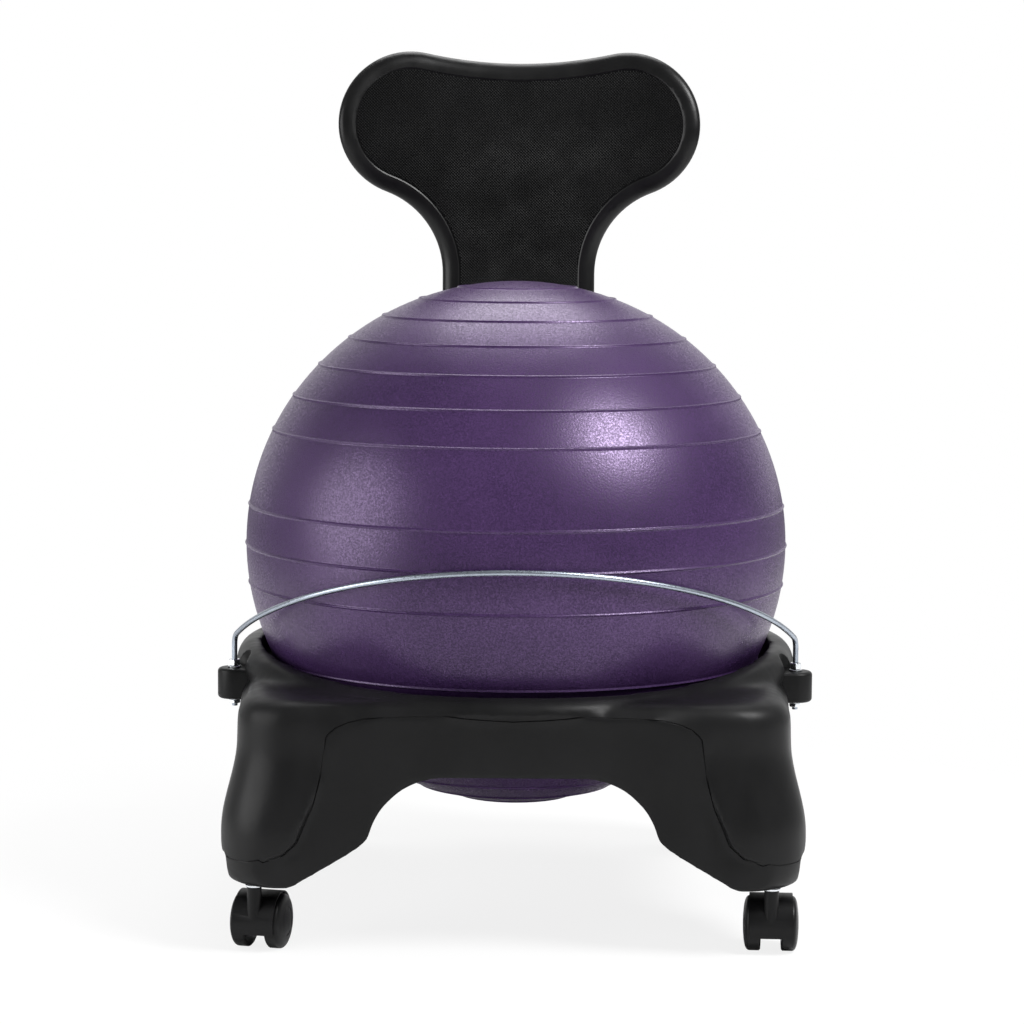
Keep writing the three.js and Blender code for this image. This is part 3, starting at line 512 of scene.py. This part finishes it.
def rimShape(s):
    # the rim round the ball, lifted from the front towards the sides and the back
    crest, floor = s["deck"] + s["rimLift"], s["deck"] - s["rimDepth"]
    front, fade = s["rimFront"], s["rimFade"]
    across, down = s["rimRound"]
    edge = [(front - across + dx * across, crest - down + dz * down)
            for dx, dz in arcPoints((0, 0), 1, 0, math.pi / 2, 12)]
    shape = spun([(0, floor), (front - s["rimTaper"], floor), *edge, (0, crest)], s["rimSteps"])
    for vert in shape.verts:
        bearing = math.degrees(math.atan2(abs(vert.co.x), -vert.co.y))
        share = min(max((vert.co.z - s["deck"] + fade) / fade, 0), 1)
        vert.co.z += share * s["rimRise"] * smoothStep(bearing, *s["riseDegrees"])
    return moved(shape, Matrix.Diagonal((s["rimSide"] / front, 1, 1, 1)))


def bowlShape(s):
    # the well, the ring that the ball sits on and the mouth, all cut at once
    below, above = s["foot"] - s["overrun"], s["deck"] + s["overrun"]
    mouth, lip = s["mouth"], s["mouthRound"]
    first, last = s["mouthFlare"]
    profile = [
        (0, below), (s["well"], below), (s["well"], s["wellTop"]), s["seat"], (s["relief"], s["seat"][1]),
        (mouth - lip, s["deck"] - lip), (mouth, s["deck"]), (mouth + first, s["deck"] + s["rimRise"]),
        (mouth + last, above), (0, above),
    ]
    return spun(profile, s["rimSteps"])


def lugShape(s, side):
    shape = bmesh.new()
    outline = [(-s["lugRoot"], -s["lugRadius"])]
    outline += arcPoints((0, 0), s["lugRadius"], -math.pi / 2, math.pi / 2, 24)
    outline.append((-s["lugRoot"], s["lugRadius"]))
    low = s["deck"] - s["lugThickness"]
    face = shape.faces.new([shape.verts.new((x, y, low)) for x, y in outline])
    pushed(shape, [face], (0, 0, s["lugThickness"]))
    bmesh.ops.recalc_face_normals(shape, faces=shape.faces)
    rims = [edge for item in shape.faces if len(item.verts) > 4 for edge in item.edges]
    bmesh.ops.bevel(shape, geom=rims, offset=s["lugEdge"], offset_type="OFFSET", segments=5, profile=0.5,
                    affect="EDGES", material=-1)
    turn = quarterTurns[0] if side > 0 else quarterTurns[2]
    return moved(shape, Matrix.Translation((side * s["lug"][0], s["lug"][1], 0)) @ turn)


def softenShelf(base, s):
    # runs the rim softly into the tops of the legs
    shelf = base.vertex_groups.new(name="shelf")
    for vert in base.data.vertices:
        x, y, z = abs(vert.co.x), abs(vert.co.y), vert.co.z
        corner = smoothStep(min(x, y), *s["shelfCorner"]) * smoothStep(math.hypot(x, y), *s["shelfReach"])
        weight = corner * smoothStep(z, *s["shelfLow"]) * (1 - smoothStep(z, *s["shelfHigh"]))
        if weight > 0:
            shelf.add([vert.index], weight, "REPLACE")
    soften = base.modifiers.new("soften", "SMOOTH")
    soften.vertex_group = "shelf"
    soften.factor, soften.iterations = s["shelfSmoothing"]
    settled(base)


def partingGroove(base, s):
    # the mould's parting line: over each panel, down its creases and round the feet
    surface = BVHTree.FromObject(base, bpy.context.evaluated_depsgraph_get())
    reach, height = s["skirt"] - s["corner"], s["grooveHeight"]
    foot = arcPoints((reach, -reach), s["corner"], -math.pi / 2, -math.pi / 4, 10)
    right = [(x, -s["panel"] - s["grooveStand"], z) for x, z in (*s["crown"], *s["crease"])]
    right += [(x, -s["skirt"], height + rise) for x, rise in s["grooveJoin"]]
    right += [(x, y, height) for x, y in foot if x > s["grooveCorner"]]
    side = [(-x, y, z) for x, y, z in reversed(right[1:-1])] + right
    spots = [surface.find_nearest(turn @ Vector(point))[0] for turn in quarterTurns for point in side]
    groove = shapeOf(tube("groove", spots, s["grooveRadius"], 1, closed=True))
    combined(base, [groove], "DIFFERENCE")


def makeBase(s):
    base = loose("baseShell", legLoft(s))
    outside, inside = [(-s["beyond"], -s["panel"]), (-s["panel"], -s["well"])]
    combined(base, [moved(panelShape(s, *outside), turn) for turn in quarterTurns], "DIFFERENCE")
    combined(base, [moved(panelShape(s, *inside), turn) for turn in quarterTurns], "UNION")
    combined(base, [moved(bandShape(s), turn) for turn in quarterTurns], "DIFFERENCE")
    combined(base, [moved(archShape(s), turn) for turn in quarterTurns[:2]], "DIFFERENCE")
    padSide, padTop = s["column"] + s["padSide"], s["deck"] - s["padDrop"]
    pad = block((-padSide, s["well"], s["archTop"]), (padSide, s["padBack"], padTop))
    combined(base, [rimShape(s), pad], "UNION")
    channel = block((-s["column"], s["channel"], s["channelLow"]),
                    (s["column"], s["beyond"], s["deck"] + s["channelOver"]))
    combined(base, [bowlShape(s), channel], "DIFFERENCE")
    grid = base.modifiers.new("grid", "REMESH")
    grid.mode, grid.voxel_size, grid.adaptivity = "VOXEL", s["voxel"], 0
    relax = base.modifiers.new("relax", "SMOOTH")
    relax.factor, relax.iterations = s["smoothing"]
    settled(base)
    softenShelf(base, s)
    partingGroove(base, s)
    combined(base, [lugShape(s, -1), lugShape(s, 1)], "UNION")
    lugs = [Matrix.Translation((side * s["lug"][0], s["lug"][1], 0)) for side in (-1, 1)]
    nutSpace = (s["lugRadius"], s["deck"], s["deck"] + s["overrun"])
    combined(base, [moved(bar(*nutSpace), place) for place in lugs], "DIFFERENCE")
    legs = [Matrix.Translation((x * s["caster"], y * s["caster"], 0)) for x in (-1, 1) for y in (-1, 1)]
    bores = [moved(bar(*s["socket"]), place) for place in legs]
    bores += [moved(bar(*s["lugBore"]), place) for place in lugs]
    combined(base, bores, "DIFFERENCE")
    base.data.transform(toAxis)
    finished(base, "frame", basePlastic, ["base_shell"], 60)
    print("base triangles", sum(len(face.vertices) - 2 for face in base.data.polygons))


makeBase(baseSettings)
print("base made")


# backrest: one moulded blade with a two-lobed head and a textured front
bladeSettings = {
    "thickness": 0.034, "front": 0.2583, "edgeWidth": 0.014, "edgeDepth": 0.010, "edgeSteps": 8,
    "column": 0.0795, "footRadius": 0.0195, "bottom": 0.1698,
    "lobe": (0.112, 0.753), "lobeRadius": 0.0747, "dip": 0.816, "fillet": 0.09,
    "deck": 0.2348, "lean": 0.014, "lumbar": 0.008, "wrap": 0.03,
    "border": 0.0025, "stepWidth": 0.0012, "stepDepth": 0.0008,
    "slice": 0.008, "sliced": ((2, 0.16, 0.84), (0, -0.2, 0.2)),  # axis, from, to
    "bolt": (0.04, 0.1998), "boltBore": (0.0043, -0.06, 0.03),  # radius, from, to
    "dotPitch": 0.003, "dotHeight": 0.00066, "dotSink": 0.0004, "dotStand": 0.00003,
    "dotLow": 0.25, "dotReach": 0.18,
}


def bladeOutline(s):
    # column, fillets, two lobes and the dip between them
    lobeX, lobeZ = s["lobe"]
    filletX = s["column"] + s["fillet"]
    drop = math.sqrt((s["lobeRadius"] + s["fillet"]) ** 2 - (filletX - lobeX) ** 2)
    start = math.atan2(-drop, filletX - lobeX)
    lift = s["dip"] - lobeZ
    dipRadius = (lobeX ** 2 + lift ** 2 - s["lobeRadius"] ** 2) / (2 * (s["lobeRadius"] - lift))
    dipZ = s["dip"] + dipRadius
    end = math.atan2(dipZ - lobeZ, -lobeX)
    foot = s["column"] - s["footRadius"]
    right = arcPoints((foot, s["bottom"] + s["footRadius"]), s["footRadius"], -math.pi / 2, 0, 6)
    right += arcPoints((filletX, lobeZ - drop), s["fillet"], math.pi, start + math.pi, 18)
    right += arcPoints(s["lobe"], s["lobeRadius"], start, end, 44)[1:]
    right += arcPoints((0, dipZ), dipRadius, end - math.pi, -math.pi / 2, 12)[1:]
    return right + [(-x, z) for x, z in reversed(right[:-1])]


def bladeShift(s, x, z):
    # how far the lean takes a point back, less what the lumbar curve and the wings bring forward
    lobeX, lobeZ = s["lobe"]
    climbed = min(max((z - s["deck"]) / (lobeZ - s["deck"]), 0), 1)
    head = smoothStep(z, lobeZ - 2 * s["lobeRadius"], lobeZ)
    share = min(max((lobeZ + s["lobeRadius"] - z) / (3 * s["lobeRadius"]), 0), 1)
    lumbar = s["lumbar"] * math.sin(math.pi * share) ** 2
    wrap = s["wrap"] * head * (x / (lobeX + s["lobeRadius"])) ** 2
    return s["lean"] * math.sin(climbed * math.pi / 2) - lumbar - wrap


def dotSheet(s, outline):
    # raised dots in diagonal rows, whole ones only, on a thin sheet sunk into the field
    pitch = s["dotPitch"]
    low, high = s["dotLow"], max(z for x, z in outline)
    middle, reach = (low + high) / 2, (high - low) / 2 + s["dotReach"]
    count = int(reach * math.sqrt(2) / (pitch / math.sqrt(2)))
    sheet = bmesh.new()
    field = Matrix.Translation((0, s["front"] + s["stepDepth"] - s["dotStand"], middle))
    upright = field @ Matrix.Rotation(math.pi / 2, 4, "X")
    bmesh.ops.create_grid(sheet, x_segments=count, y_segments=count, size=count * pitch / math.sqrt(2) / 2,
                          matrix=upright @ Matrix.Rotation(math.pi / 4, 4, "Z"))
    crossings = {}

    def inside(x, z):
        key = round(z, 5)
        if key not in crossings:
            crossings[key] = [a[0] + (b[0] - a[0]) * (z - a[1]) / (b[1] - a[1])
                              for a, b in zip(outline, outline[1:] + outline[:1]) if (a[1] > z) != (b[1] > z)]
        return sum(place > x for place in crossings[key]) % 2 == 1

    half = pitch / 2
    outside = []
    for face in sheet.faces:
        spot = face.calc_center_median()
        corners = [(spot.x - half, spot.z), (spot.x + half, spot.z),
                   (spot.x, spot.z - half), (spot.x, spot.z + half)]
        if spot.z < low or not all(inside(x, z) for x, z in corners):
            outside.append(face)
    bmesh.ops.delete(sheet, geom=outside, context="FACES")
    if sheet.faces[:][0].normal.y > 0:
        bmesh.ops.reverse_faces(sheet, faces=sheet.faces)
    raised = pushed(sheet, sheet.faces[:], (0, -s["dotSink"], 0))[1]
    bmesh.ops.translate(sheet, verts=sheet.verts, vec=(0, s["dotSink"], 0))
    bmesh.ops.recalc_face_normals(sheet, faces=sheet.faces)
    bmesh.ops.poke(sheet, faces=raised, offset=s["dotHeight"])
    for vert in sheet.verts:
        vert.co.y += bladeShift(s, vert.co.x, vert.co.z)
    for face in sheet.faces:
        face.material_index = 1
    return sheet


def makeBackrest(s):
    shape = bmesh.new()
    core = s["thickness"] - 2 * s["edgeDepth"]
    front = s["front"] + s["edgeDepth"]
    face = shape.faces.new([shape.verts.new((x, front, z)) for x, z in bladeOutline(s)])
    pushed(shape, [face], (0, core, 0))
    bmesh.ops.recalc_face_normals(shape, faces=shape.faces)
    ends = [item for item in shape.faces if len(item.verts) > 4]
    for end in ends:
        width = depth = 0
        for step in range(1, s["edgeSteps"] + 1):  # the rolled edge, as insets along a quarter ellipse
            turn = step / s["edgeSteps"] * math.pi / 2
            newWidth, newDepth = s["edgeWidth"] * (1 - math.cos(turn)), s["edgeDepth"] * math.sin(turn)
            bmesh.ops.inset_region(shape, faces=[end], thickness=newWidth - width, depth=newDepth - depth,
                                   use_even_offset=True, use_boundary=True)
            width, depth = newWidth, newDepth
        if end.normal.y < 0:
            bmesh.ops.inset_region(shape, faces=[end], thickness=s["border"], depth=0, use_even_offset=True)
            bmesh.ops.inset_region(shape, faces=[end], thickness=s["stepWidth"], depth=-s["stepDepth"],
                                   use_even_offset=True)
            end.material_index = 1
            outline = [(vert.co.x, vert.co.z) for vert in end.verts]
    wide = [item for item in shape.faces if len(item.verts) > 4]
    bmesh.ops.triangulate(shape, faces=wide, quad_method="BEAUTY", ngon_method="BEAUTY")
    for axis, low, high in s["sliced"]:
        place = low
        while place < high:
            point, normal = [0, 0, 0], [0, 0, 0]
            point[axis], normal[axis] = place, 1
            bmesh.ops.bisect_plane(shape, geom=shape.verts[:] + shape.edges[:] + shape.faces[:],
                                   dist=mergeGap, plane_co=point, plane_no=normal)
            place += s["slice"]
    for vert in shape.verts:
        vert.co.y += bladeShift(s, vert.co.x, vert.co.z)
    blade = loose("backBlade", shape)
    blade.data.materials.append(bladePlastic)
    blade.data.materials.append(fieldPlastic)
    bores = []
    for side in (-1, 1):
        place = Matrix.Translation((side * s["bolt"][0], s["front"], s["bolt"][1]))
        bores.append(moved(bar(*s["boltBore"], 32), place @ Matrix.Rotation(math.pi / 2, 4, "X")))
    combined(blade, bores, "DIFFERENCE")
    whole = dotSheet(s, outline)
    whole.from_mesh(blade.data)
    whole.to_mesh(blade.data)
    whole.free()
    blade.data.transform(toAxis)
    finished(blade, "frame", bladePlastic, ["backrest"], 30)
    print("blade triangles", sum(len(face.vertices) - 2 for face in blade.data.polygons))


makeBackrest(bladeSettings)
print("backrest made")


# rod round the front of the ball, its nuts and washers
rodSettings = {
    "radius": 0.0026, "front": 0.26655, "lug": (0.2663, 0.07), "elbow": 0.2644,
    "elbowRun": 0.009, "rise": 0.0872, "end": 0.198, "arcSteps": 120,
    "nutRadius": 0.00577, "nutBore": 0.0029, "nutRim": 0.0006, "nutOver": 0.0003, "drill": 0.01,
    "washer": (0.0029, 0.0064, 0.0012), "washerEdge": 0.0002,  # inner radius, outer radius, thickness
    # lowest points, and the height of a nut
    "stack": {"upper_washer": 0.2351, "upper_nut": (0.2366, 0.006),
              "lower_washer": 0.2043, "lower_nut": (0.2005, 0.0035)},
}


def rodPath(s):
    # up through the right lug, round the front on one arc, and down through the left lug
    side, forward = s["lug"]
    centre = (side ** 2 + forward ** 2 - s["front"] ** 2) / (2 * (s["front"] - forward))
    radius = centre + s["front"]
    start = math.atan2(-forward - centre, side)

    def onArc(angle):
        y = centre + radius * math.sin(angle)
        share = (-forward - y) / (s["front"] - forward)
        return Vector((radius * math.cos(angle), y, s["elbow"] + s["rise"] * share))

    turn = s["elbowRun"] / radius
    corner = Vector((side, -forward, s["elbow"]))
    below, after = corner - Vector((0, 0, s["elbowRun"])), onArc(start - turn)
    points = [Vector((side, -forward, s["end"]))]
    for step in range(9):
        t = step / 8
        points.append((1 - t) ** 2 * below + 2 * t * (1 - t) * corner + t * t * after)
    span = -math.pi / 2 - (start - turn)
    half = s["arcSteps"] // 2
    points += [onArc(start - turn + span * step / half) for step in range(1, half + 1)]
    return points + [Vector((-p.x, p.y, p.z)) for p in reversed(points[:-1])]


def makeRod(s):
    rod = tube("supportRod", rodPath(s), s["radius"], 7)
    rod.data.transform(toAxis)
    finished(rod, "frame", zincSteel, ["support_bar"], 50)


def nutShape(s, low, height):
    # a hexagon cut by a cone at each end, with a round bore
    radius, rim, high = s["nutRadius"], s["nutRim"], low + height
    wide = radius + s["nutOver"]
    nut = loose("nut", bar(radius, low, high, 6))
    cone = spun([(0, low), (radius - rim * 2, low), (wide, low + rim * 1.6),
                 (wide, high - rim * 1.6), (radius - rim * 2, high), (0, high)], 48)
    combined(nut, [cone], "INTERSECT")
    combined(nut, [bar(s["nutBore"], low - s["drill"], high + s["drill"], 32)], "DIFFERENCE")
    return nut


def washerShape(s, low):
    inner, outer, thickness = s["washer"]
    edge, high = s["washerEdge"], low + thickness
    profile = [(inner, low), (outer - edge, low), (outer, low + edge), (outer, high - edge),
               (outer - edge, high), (inner, high)]
    return spun(profile, 48, closed=True)


def makeFasteners(s):
    for side, word in ((-1, "left"), (1, "right")):
        place = Matrix.Translation((side * s["lug"][0], axisY - s["lug"][1], 0))
        for level in ("upper", "lower"):
            nut = nutShape(s, *s["stack"][f"{level}_nut"])
            nut.name = f"{level}Nut_{word}"
            nut.data.transform(place)
            finished(nut, "frame", brightSteel, [f"bar_{level}_nut_{word}"], 25)
            washer = moved(washerShape(s, s["stack"][f"{level}_washer"]), place)
            finished(loose(f"{level}Washer_{word}", washer), "frame", brightSteel,
                     [f"bar_{level}_washer_{word}"], 25)


makeRod(rodSettings)
makeFasteners(rodSettings)
print("rod and nuts made")


# casters: twin wheels under a hood, on a steel stem
casterSettings = {
    "spacing": 0.234, "trail": 0.0205, "wheelRadius": 0.025, "wheelWidth": 0.016,
    "dome": 0.007, "domeSteps": 15, "domePower": 1.5, "capStep": 11,
    "capGroove": ((0.0004, 0.0005), (0.0009, 0.0004)),  # in and down from the dome
    "cap": 0.003, "axleBore": 0.0033,
    "hubRadius": 0.007, "hubStep": 0.0004, "innerRim": ((0.004, 0), (0.0012, 0.0002), (0, 0.0014)),
    "webHalf": 0.0088, "wheelGap": 0.0005, "fenderHalf": 0.0195, "fenderGap": 0.001, "fenderWall": 0.0017,
    "skirtFront": 0.016, "skirtBack": 0.03, "webRadius": 0.0235, "webFloor": 0.015,
    "neckRadius": 0.00675, "neckTop": 0.06, "hoodEdge": 0.0005,
    "stemRadius": 0.0055, "stemLow": 0.0325, "stemSlack": 0.0003, "stemDrill": 0.08, "stemTip": 0.0985,
    "collar": (0.008, 0.0603, 0.0022), "collarEdge": 0.0004,  # radius, bottom, thickness
    # the grip groove and the tip: in from the stem's side, down from its top
    "grip": ((0, 0.0085), (0.0008, 0.0083), (0.0008, 0.0062), (0, 0.006), (0, 0.002), (0.002, 0)),
    "pedalHalf": 0.007, "pedalThickness": 0.0024, "pedalGap": 0.0007, "pedalEdge": 0.0004, "pedalSteps": 14,
    "pinRadius": 0.00125, "pinSlack": 0.0002, "hub": 0.0026, "pinDegrees": 60, "endDegrees": 2,
    "toe": 0.007, "releaseDegrees": 10, "ear": (0.0026, 0.0038, 0.0004),  # thickness, radius, gap
    "side": 0.06, "back": 0.1, "below": 0.04,  # how far the cutting shapes reach
    "axleDrill": 0.04, "earDrill": 0.03, "pedalDrill": 0.02,
    # name, side, end, degrees at rest, with a lock pedal
    "places": (("front_left", -1, -1, -14, False), ("front_right", 1, -1, -3, False),
               ("rear_left", -1, 1, 8, True), ("rear_right", 1, 1, -6, True)),
}


def axleBar(s, radius, left, right, y=None, z=None, steps=64):
    y = s["trail"] if y is None else y
    z = s["wheelRadius"] if z is None else z
    return moved(bar(radius, left, right, steps), Matrix.Translation((0, y, z)) @ sideways)


def hoodRadius(s):
    return s["wheelRadius"] + s["fenderGap"] + s["fenderWall"]


def pinPlace(s):
    orbit = hoodRadius(s) + s["pedalGap"] + s["hub"]
    turn = math.radians(s["pinDegrees"])
    return s["trail"] + orbit * math.cos(turn), s["wheelRadius"] + orbit * math.sin(turn)


def pinDrill(s, reach):
    return axleBar(s, s["pinRadius"] + s["pinSlack"], -reach, reach, *pinPlace(s), 24)


def hoodMesh(s, locks):
    outer, inner = hoodRadius(s), s["wheelRadius"] + s["fenderGap"]
    half, web = s["fenderHalf"], s["webHalf"]
    side, back, below = s["side"], s["back"], -s["below"]
    hood = loose("hood", axleBar(s, outer, -half, half))
    if locks:
        thick, radius, gap = s["ear"]
        near = s["pedalHalf"] + gap
        sides = ((-near - thick, -near), (near, near + thick))
        combined(hood, [axleBar(s, radius, *ends, *pinPlace(s), 32) for ends in sides], "UNION")
        combined(hood, [pinDrill(s, s["earDrill"])], "DIFFERENCE")
    under = [(-side, below), (back, below), (back, s["skirtBack"]), (s["trail"] + outer, s["skirtBack"]),
             (s["trail"] - outer, s["skirtFront"]), (-side, s["skirtFront"])]
    cuts = [moved(slab(under, -side, side), swapXY)]
    cuts += [axleBar(s, inner, -side, -web), axleBar(s, inner, web, side)]
    combined(hood, cuts, "DIFFERENCE")
    webPlate = loose("web", axleBar(s, s["webRadius"], -web, web))
    combined(webPlate, [block((-side, -side, below), (side, back, s["webFloor"]))], "DIFFERENCE")
    neck = bar(s["neckRadius"], s["wheelRadius"], s["neckTop"], 48)
    combined(hood, [shapeOf(webPlate), neck], "UNION")
    slack = s["stemSlack"]
    combined(hood, [bar(s["stemRadius"] + slack, s["stemLow"] - slack, s["stemDrill"], 48),
                    axleBar(s, s["axleBore"], -s["axleDrill"], s["axleDrill"], steps=32)], "DIFFERENCE")
    return meshOf(softened(hood, s["hoodEdge"]))


def wheelMesh(s):
    inner = s["webHalf"] + s["wheelGap"]
    outer = inner + s["wheelWidth"]
    start, radius, steps = outer - s["dome"], s["wheelRadius"], s["domeSteps"]
    profile = [(0, outer - s["cap"]), (s["axleBore"], outer - s["cap"]),
               (s["axleBore"], inner + s["hubStep"]), (s["hubRadius"], inner)]
    profile += [(radius - back, inner + rise) for back, rise in s["innerRim"]]
    for step in range(steps):
        turn = step / steps * math.pi / 2
        across = radius * (1 - (1 - math.cos(turn)) ** s["domePower"])
        along = start + s["dome"] * math.sin(turn)
        profile.append((across, along))
        if step == s["capStep"]:  # a shallow groove round the hub cap
            profile += [(across - back, along - down) for back, down in s["capGroove"]]
    profile.append((0, outer))
    return meshOf(loose("wheel", moved(spun(profile, 72), sideways)))


def stemShape(s):
    radius, low, tip = s["stemRadius"], s["stemLow"], s["stemTip"]
    wide, bottom, thick = s["collar"]
    edge, top = s["collarEdge"], bottom + thick
    profile = [(0, low), (radius, low), (radius, bottom), (wide - edge, bottom), (wide, bottom + edge),
               (wide, top - edge), (wide - edge, top), (radius, top)]
    profile += [(radius - back, tip - down) for back, down in s["grip"]]
    return spun(profile + [(0, tip)], 48)


def pedalMesh(s):
    inner = hoodRadius(s) + s["pedalGap"]
    outer = inner + s["pedalThickness"]
    end, start = math.radians(s["endDegrees"]), math.radians(s["pinDegrees"])
    toe, half = outer + s["toe"], s["pedalHalf"]
    y, z = s["trail"], s["wheelRadius"]
    line = arcPoints((y, z), outer, start, end, s["pedalSteps"])
    line += [(y + toe * math.cos(end), z + outer * math.sin(end)),
             (y + toe * math.cos(end), z + outer * math.sin(end) - s["pedalThickness"]),
             (y + inner * math.cos(end), z + inner * math.sin(end) - s["pedalThickness"])]
    line += arcPoints((y, z), inner, end, start, s["pedalSteps"])
    pedal = loose("pedal", moved(slab(line, -half, half), swapXY))
    combined(pedal, [axleBar(s, s["hub"], -half, half, *pinPlace(s), 32)], "UNION")
    combined(pedal, [pinDrill(s, s["pedalDrill"])], "DIFFERENCE")
    softened(pedal, s["pedalEdge"])
    toPin = Matrix.Translation((0, *pinPlace(s)))
    turn = Matrix.Rotation(math.radians(s["releaseDegrees"]), 4, "X")
    pedal.data.transform(toPin @ turn @ toPin.inverted())
    return meshOf(pedal)


def placed(name, mesh, place, body, finish, replaced, sharpDegrees):
    made = bpy.data.objects.new(name, mesh.copy())
    scene.collection.objects.link(made)
    made.data.transform(place)
    return finished(made, body, finish, replaced, sharpDegrees)


def makeCasters(s):
    hoods = {locks: hoodMesh(s, locks) for locks in (False, True)}
    wheel, pedal = wheelMesh(s), pedalMesh(s)
    for name, side, end, degrees, locks in s["places"]:
        spot = Matrix.Translation((side * s["spacing"], axisY + end * s["spacing"], 0))
        place = spot @ Matrix.Rotation(math.radians(degrees), 4, "Z")
        body = f"{name}_caster"
        placed(f"{name}Hood", hoods[locks], place, body, casterNylon, [f"{name}_hood"], 30)
        stem = loose(f"{name}Stem", moved(stemShape(s), place))
        finished(stem, body, brightSteel, [f"{name}_stem"], 30)
        atAxle = place @ Matrix.Translation((0, s["trail"], s["wheelRadius"]))
        for word, turn in (("left", quarterTurns[2]), ("right", quarterTurns[0])):
            wheelBody = f"{name}_wheel_{word}"
            placed(f"{name}Wheel_{word}", wheel, atAxle @ turn, wheelBody, casterNylon,
                   [wheelBody], 40)
        if locks:
            placed(f"{name}Pedal", pedal, place, f"{name}_pedal", greyAcetal,
                   [f"{name}_lock_pedal"], 30)


makeCasters(casterSettings)
print("casters made")


# CAD nodes that stay, with their finishes
keptFinishes = {"socket_sleeve": greyAcetal, "axle": brightSteel, "pedal_pin": brightSteel,
                "back_washer": zincSteel, "back_bolt": zincSteel, "valve_plug": paleRubber}
for name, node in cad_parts.items():
    for word, finish in keptFinishes.items():
        if word in name:
            node.data.materials.clear()
            node.data.materials.append(finish)


# floor, light and background
lightSettings = {
    "key": ((1.6, -1.1, 2.3), 1.15, 96), "left": ((-2.0, -0.75, 0.8), 1.6, 30),  # place, size, power
    "top": ((0, 1.0, 2.5), 1.6, 34), "aimHeight": 0.38, "world": 0.2,
    "room": (0.3, 1, 0.45, 0.85),  # dimmest, brightest, where the change starts and ends
    "floor": (0.9, 0.9, 0.9), "floorSize": 12, "floorGlow": (0.84, 1.0), "floorFade": (0.4, 0.85),
}


def makeLights(s):
    for name in ("key", "left", "top"):
        spot, size, power = s[name]
        data = bpy.data.lights.new(name, "AREA")
        data.shape, data.size, data.energy = "DISK", size, power
        lamp = bpy.data.objects.new(name, data)
        scene.collection.objects.link(lamp)
        lamp.matrix_world = aimed(spot, Vector((0, axisY, s["aimHeight"])))


def makeWorld(s):
    world = bpy.data.worlds.new("studio")
    scene.world = world
    world.use_nodes = True
    nodes, links = world.node_tree.nodes, world.node_tree.links
    plain, white = nodes["Background"], nodes.new("ShaderNodeBackground")
    for background in (plain, white):
        background.inputs["Color"].default_value = (1, 1, 1, 1)
    plain.inputs["Strength"].default_value = s["world"]
    rays = nodes.new("ShaderNodeLightPath")
    seen = worked(nodes, links, "MAXIMUM", rays.outputs["Is Camera Ray"], rays.outputs["Is Transmission Ray"])
    # reflections show the white backdrop behind the chair, and a dimmer room in front of it
    place, axes = nodes.new("ShaderNodeTexCoord"), nodes.new("ShaderNodeSeparateXYZ")
    links.new(place.outputs["Generated"], axes.inputs["Vector"])
    backdrop = ranged(nodes, links, axes.outputs["Y"], *s["room"])
    links.new(worked(nodes, links, "MAXIMUM", backdrop, seen), white.inputs["Strength"])
    either = worked(nodes, links, "MAXIMUM", seen, rays.outputs["Is Glossy Ray"])
    mix = nodes.new("ShaderNodeMixShader")
    links.new(either, mix.inputs["Fac"])
    links.new(plain.outputs["Background"], mix.inputs[1])
    links.new(white.outputs["Background"], mix.inputs[2])
    links.new(mix.outputs["Shader"], nodes["World Output"].inputs["Surface"])


def makeFloor(s):
    shape = bmesh.new()
    bmesh.ops.create_grid(shape, x_segments=1, y_segments=1, size=s["floorSize"])
    floor = loose("floor", shape)
    finish = bpy.data.materials.new("floorPaper")
    finish.use_nodes = True
    nodes, links = finish.node_tree.nodes, finish.node_tree.links
    nodes.remove(nodes["Principled BSDF"])
    paper, glow = nodes.new("ShaderNodeBsdfDiffuse"), nodes.new("ShaderNodeEmission")
    paper.inputs["Color"].default_value = (*s["floor"], 1)
    glow.inputs["Strength"].default_value = 1
    # to the camera the paper glows a little, more so far from the chair
    rays, place = nodes.new("ShaderNodeLightPath"), nodes.new("ShaderNodeTexCoord")
    reach = nodes.new("ShaderNodeVectorMath")
    reach.operation = "LENGTH"
    links.new(place.outputs["Object"], reach.inputs[0])
    fade = ranged(nodes, links, reach.outputs["Value"], *s["floorGlow"], *s["floorFade"])
    mix = nodes.new("ShaderNodeMixShader")
    links.new(worked(nodes, links, "MULTIPLY", rays.outputs["Is Camera Ray"], fade), mix.inputs["Fac"])
    links.new(paper.outputs["BSDF"], mix.inputs[1])
    links.new(glow.outputs["Emission"], mix.inputs[2])
    links.new(mix.outputs["Shader"], nodes["Material Output"].inputs["Surface"])
    floor.data.materials.append(finish)


makeLights(lightSettings)
makeWorld(lightSettings)
makeFloor(lightSettings)
scene.view_settings.view_transform = "Standard"
print("stage made")
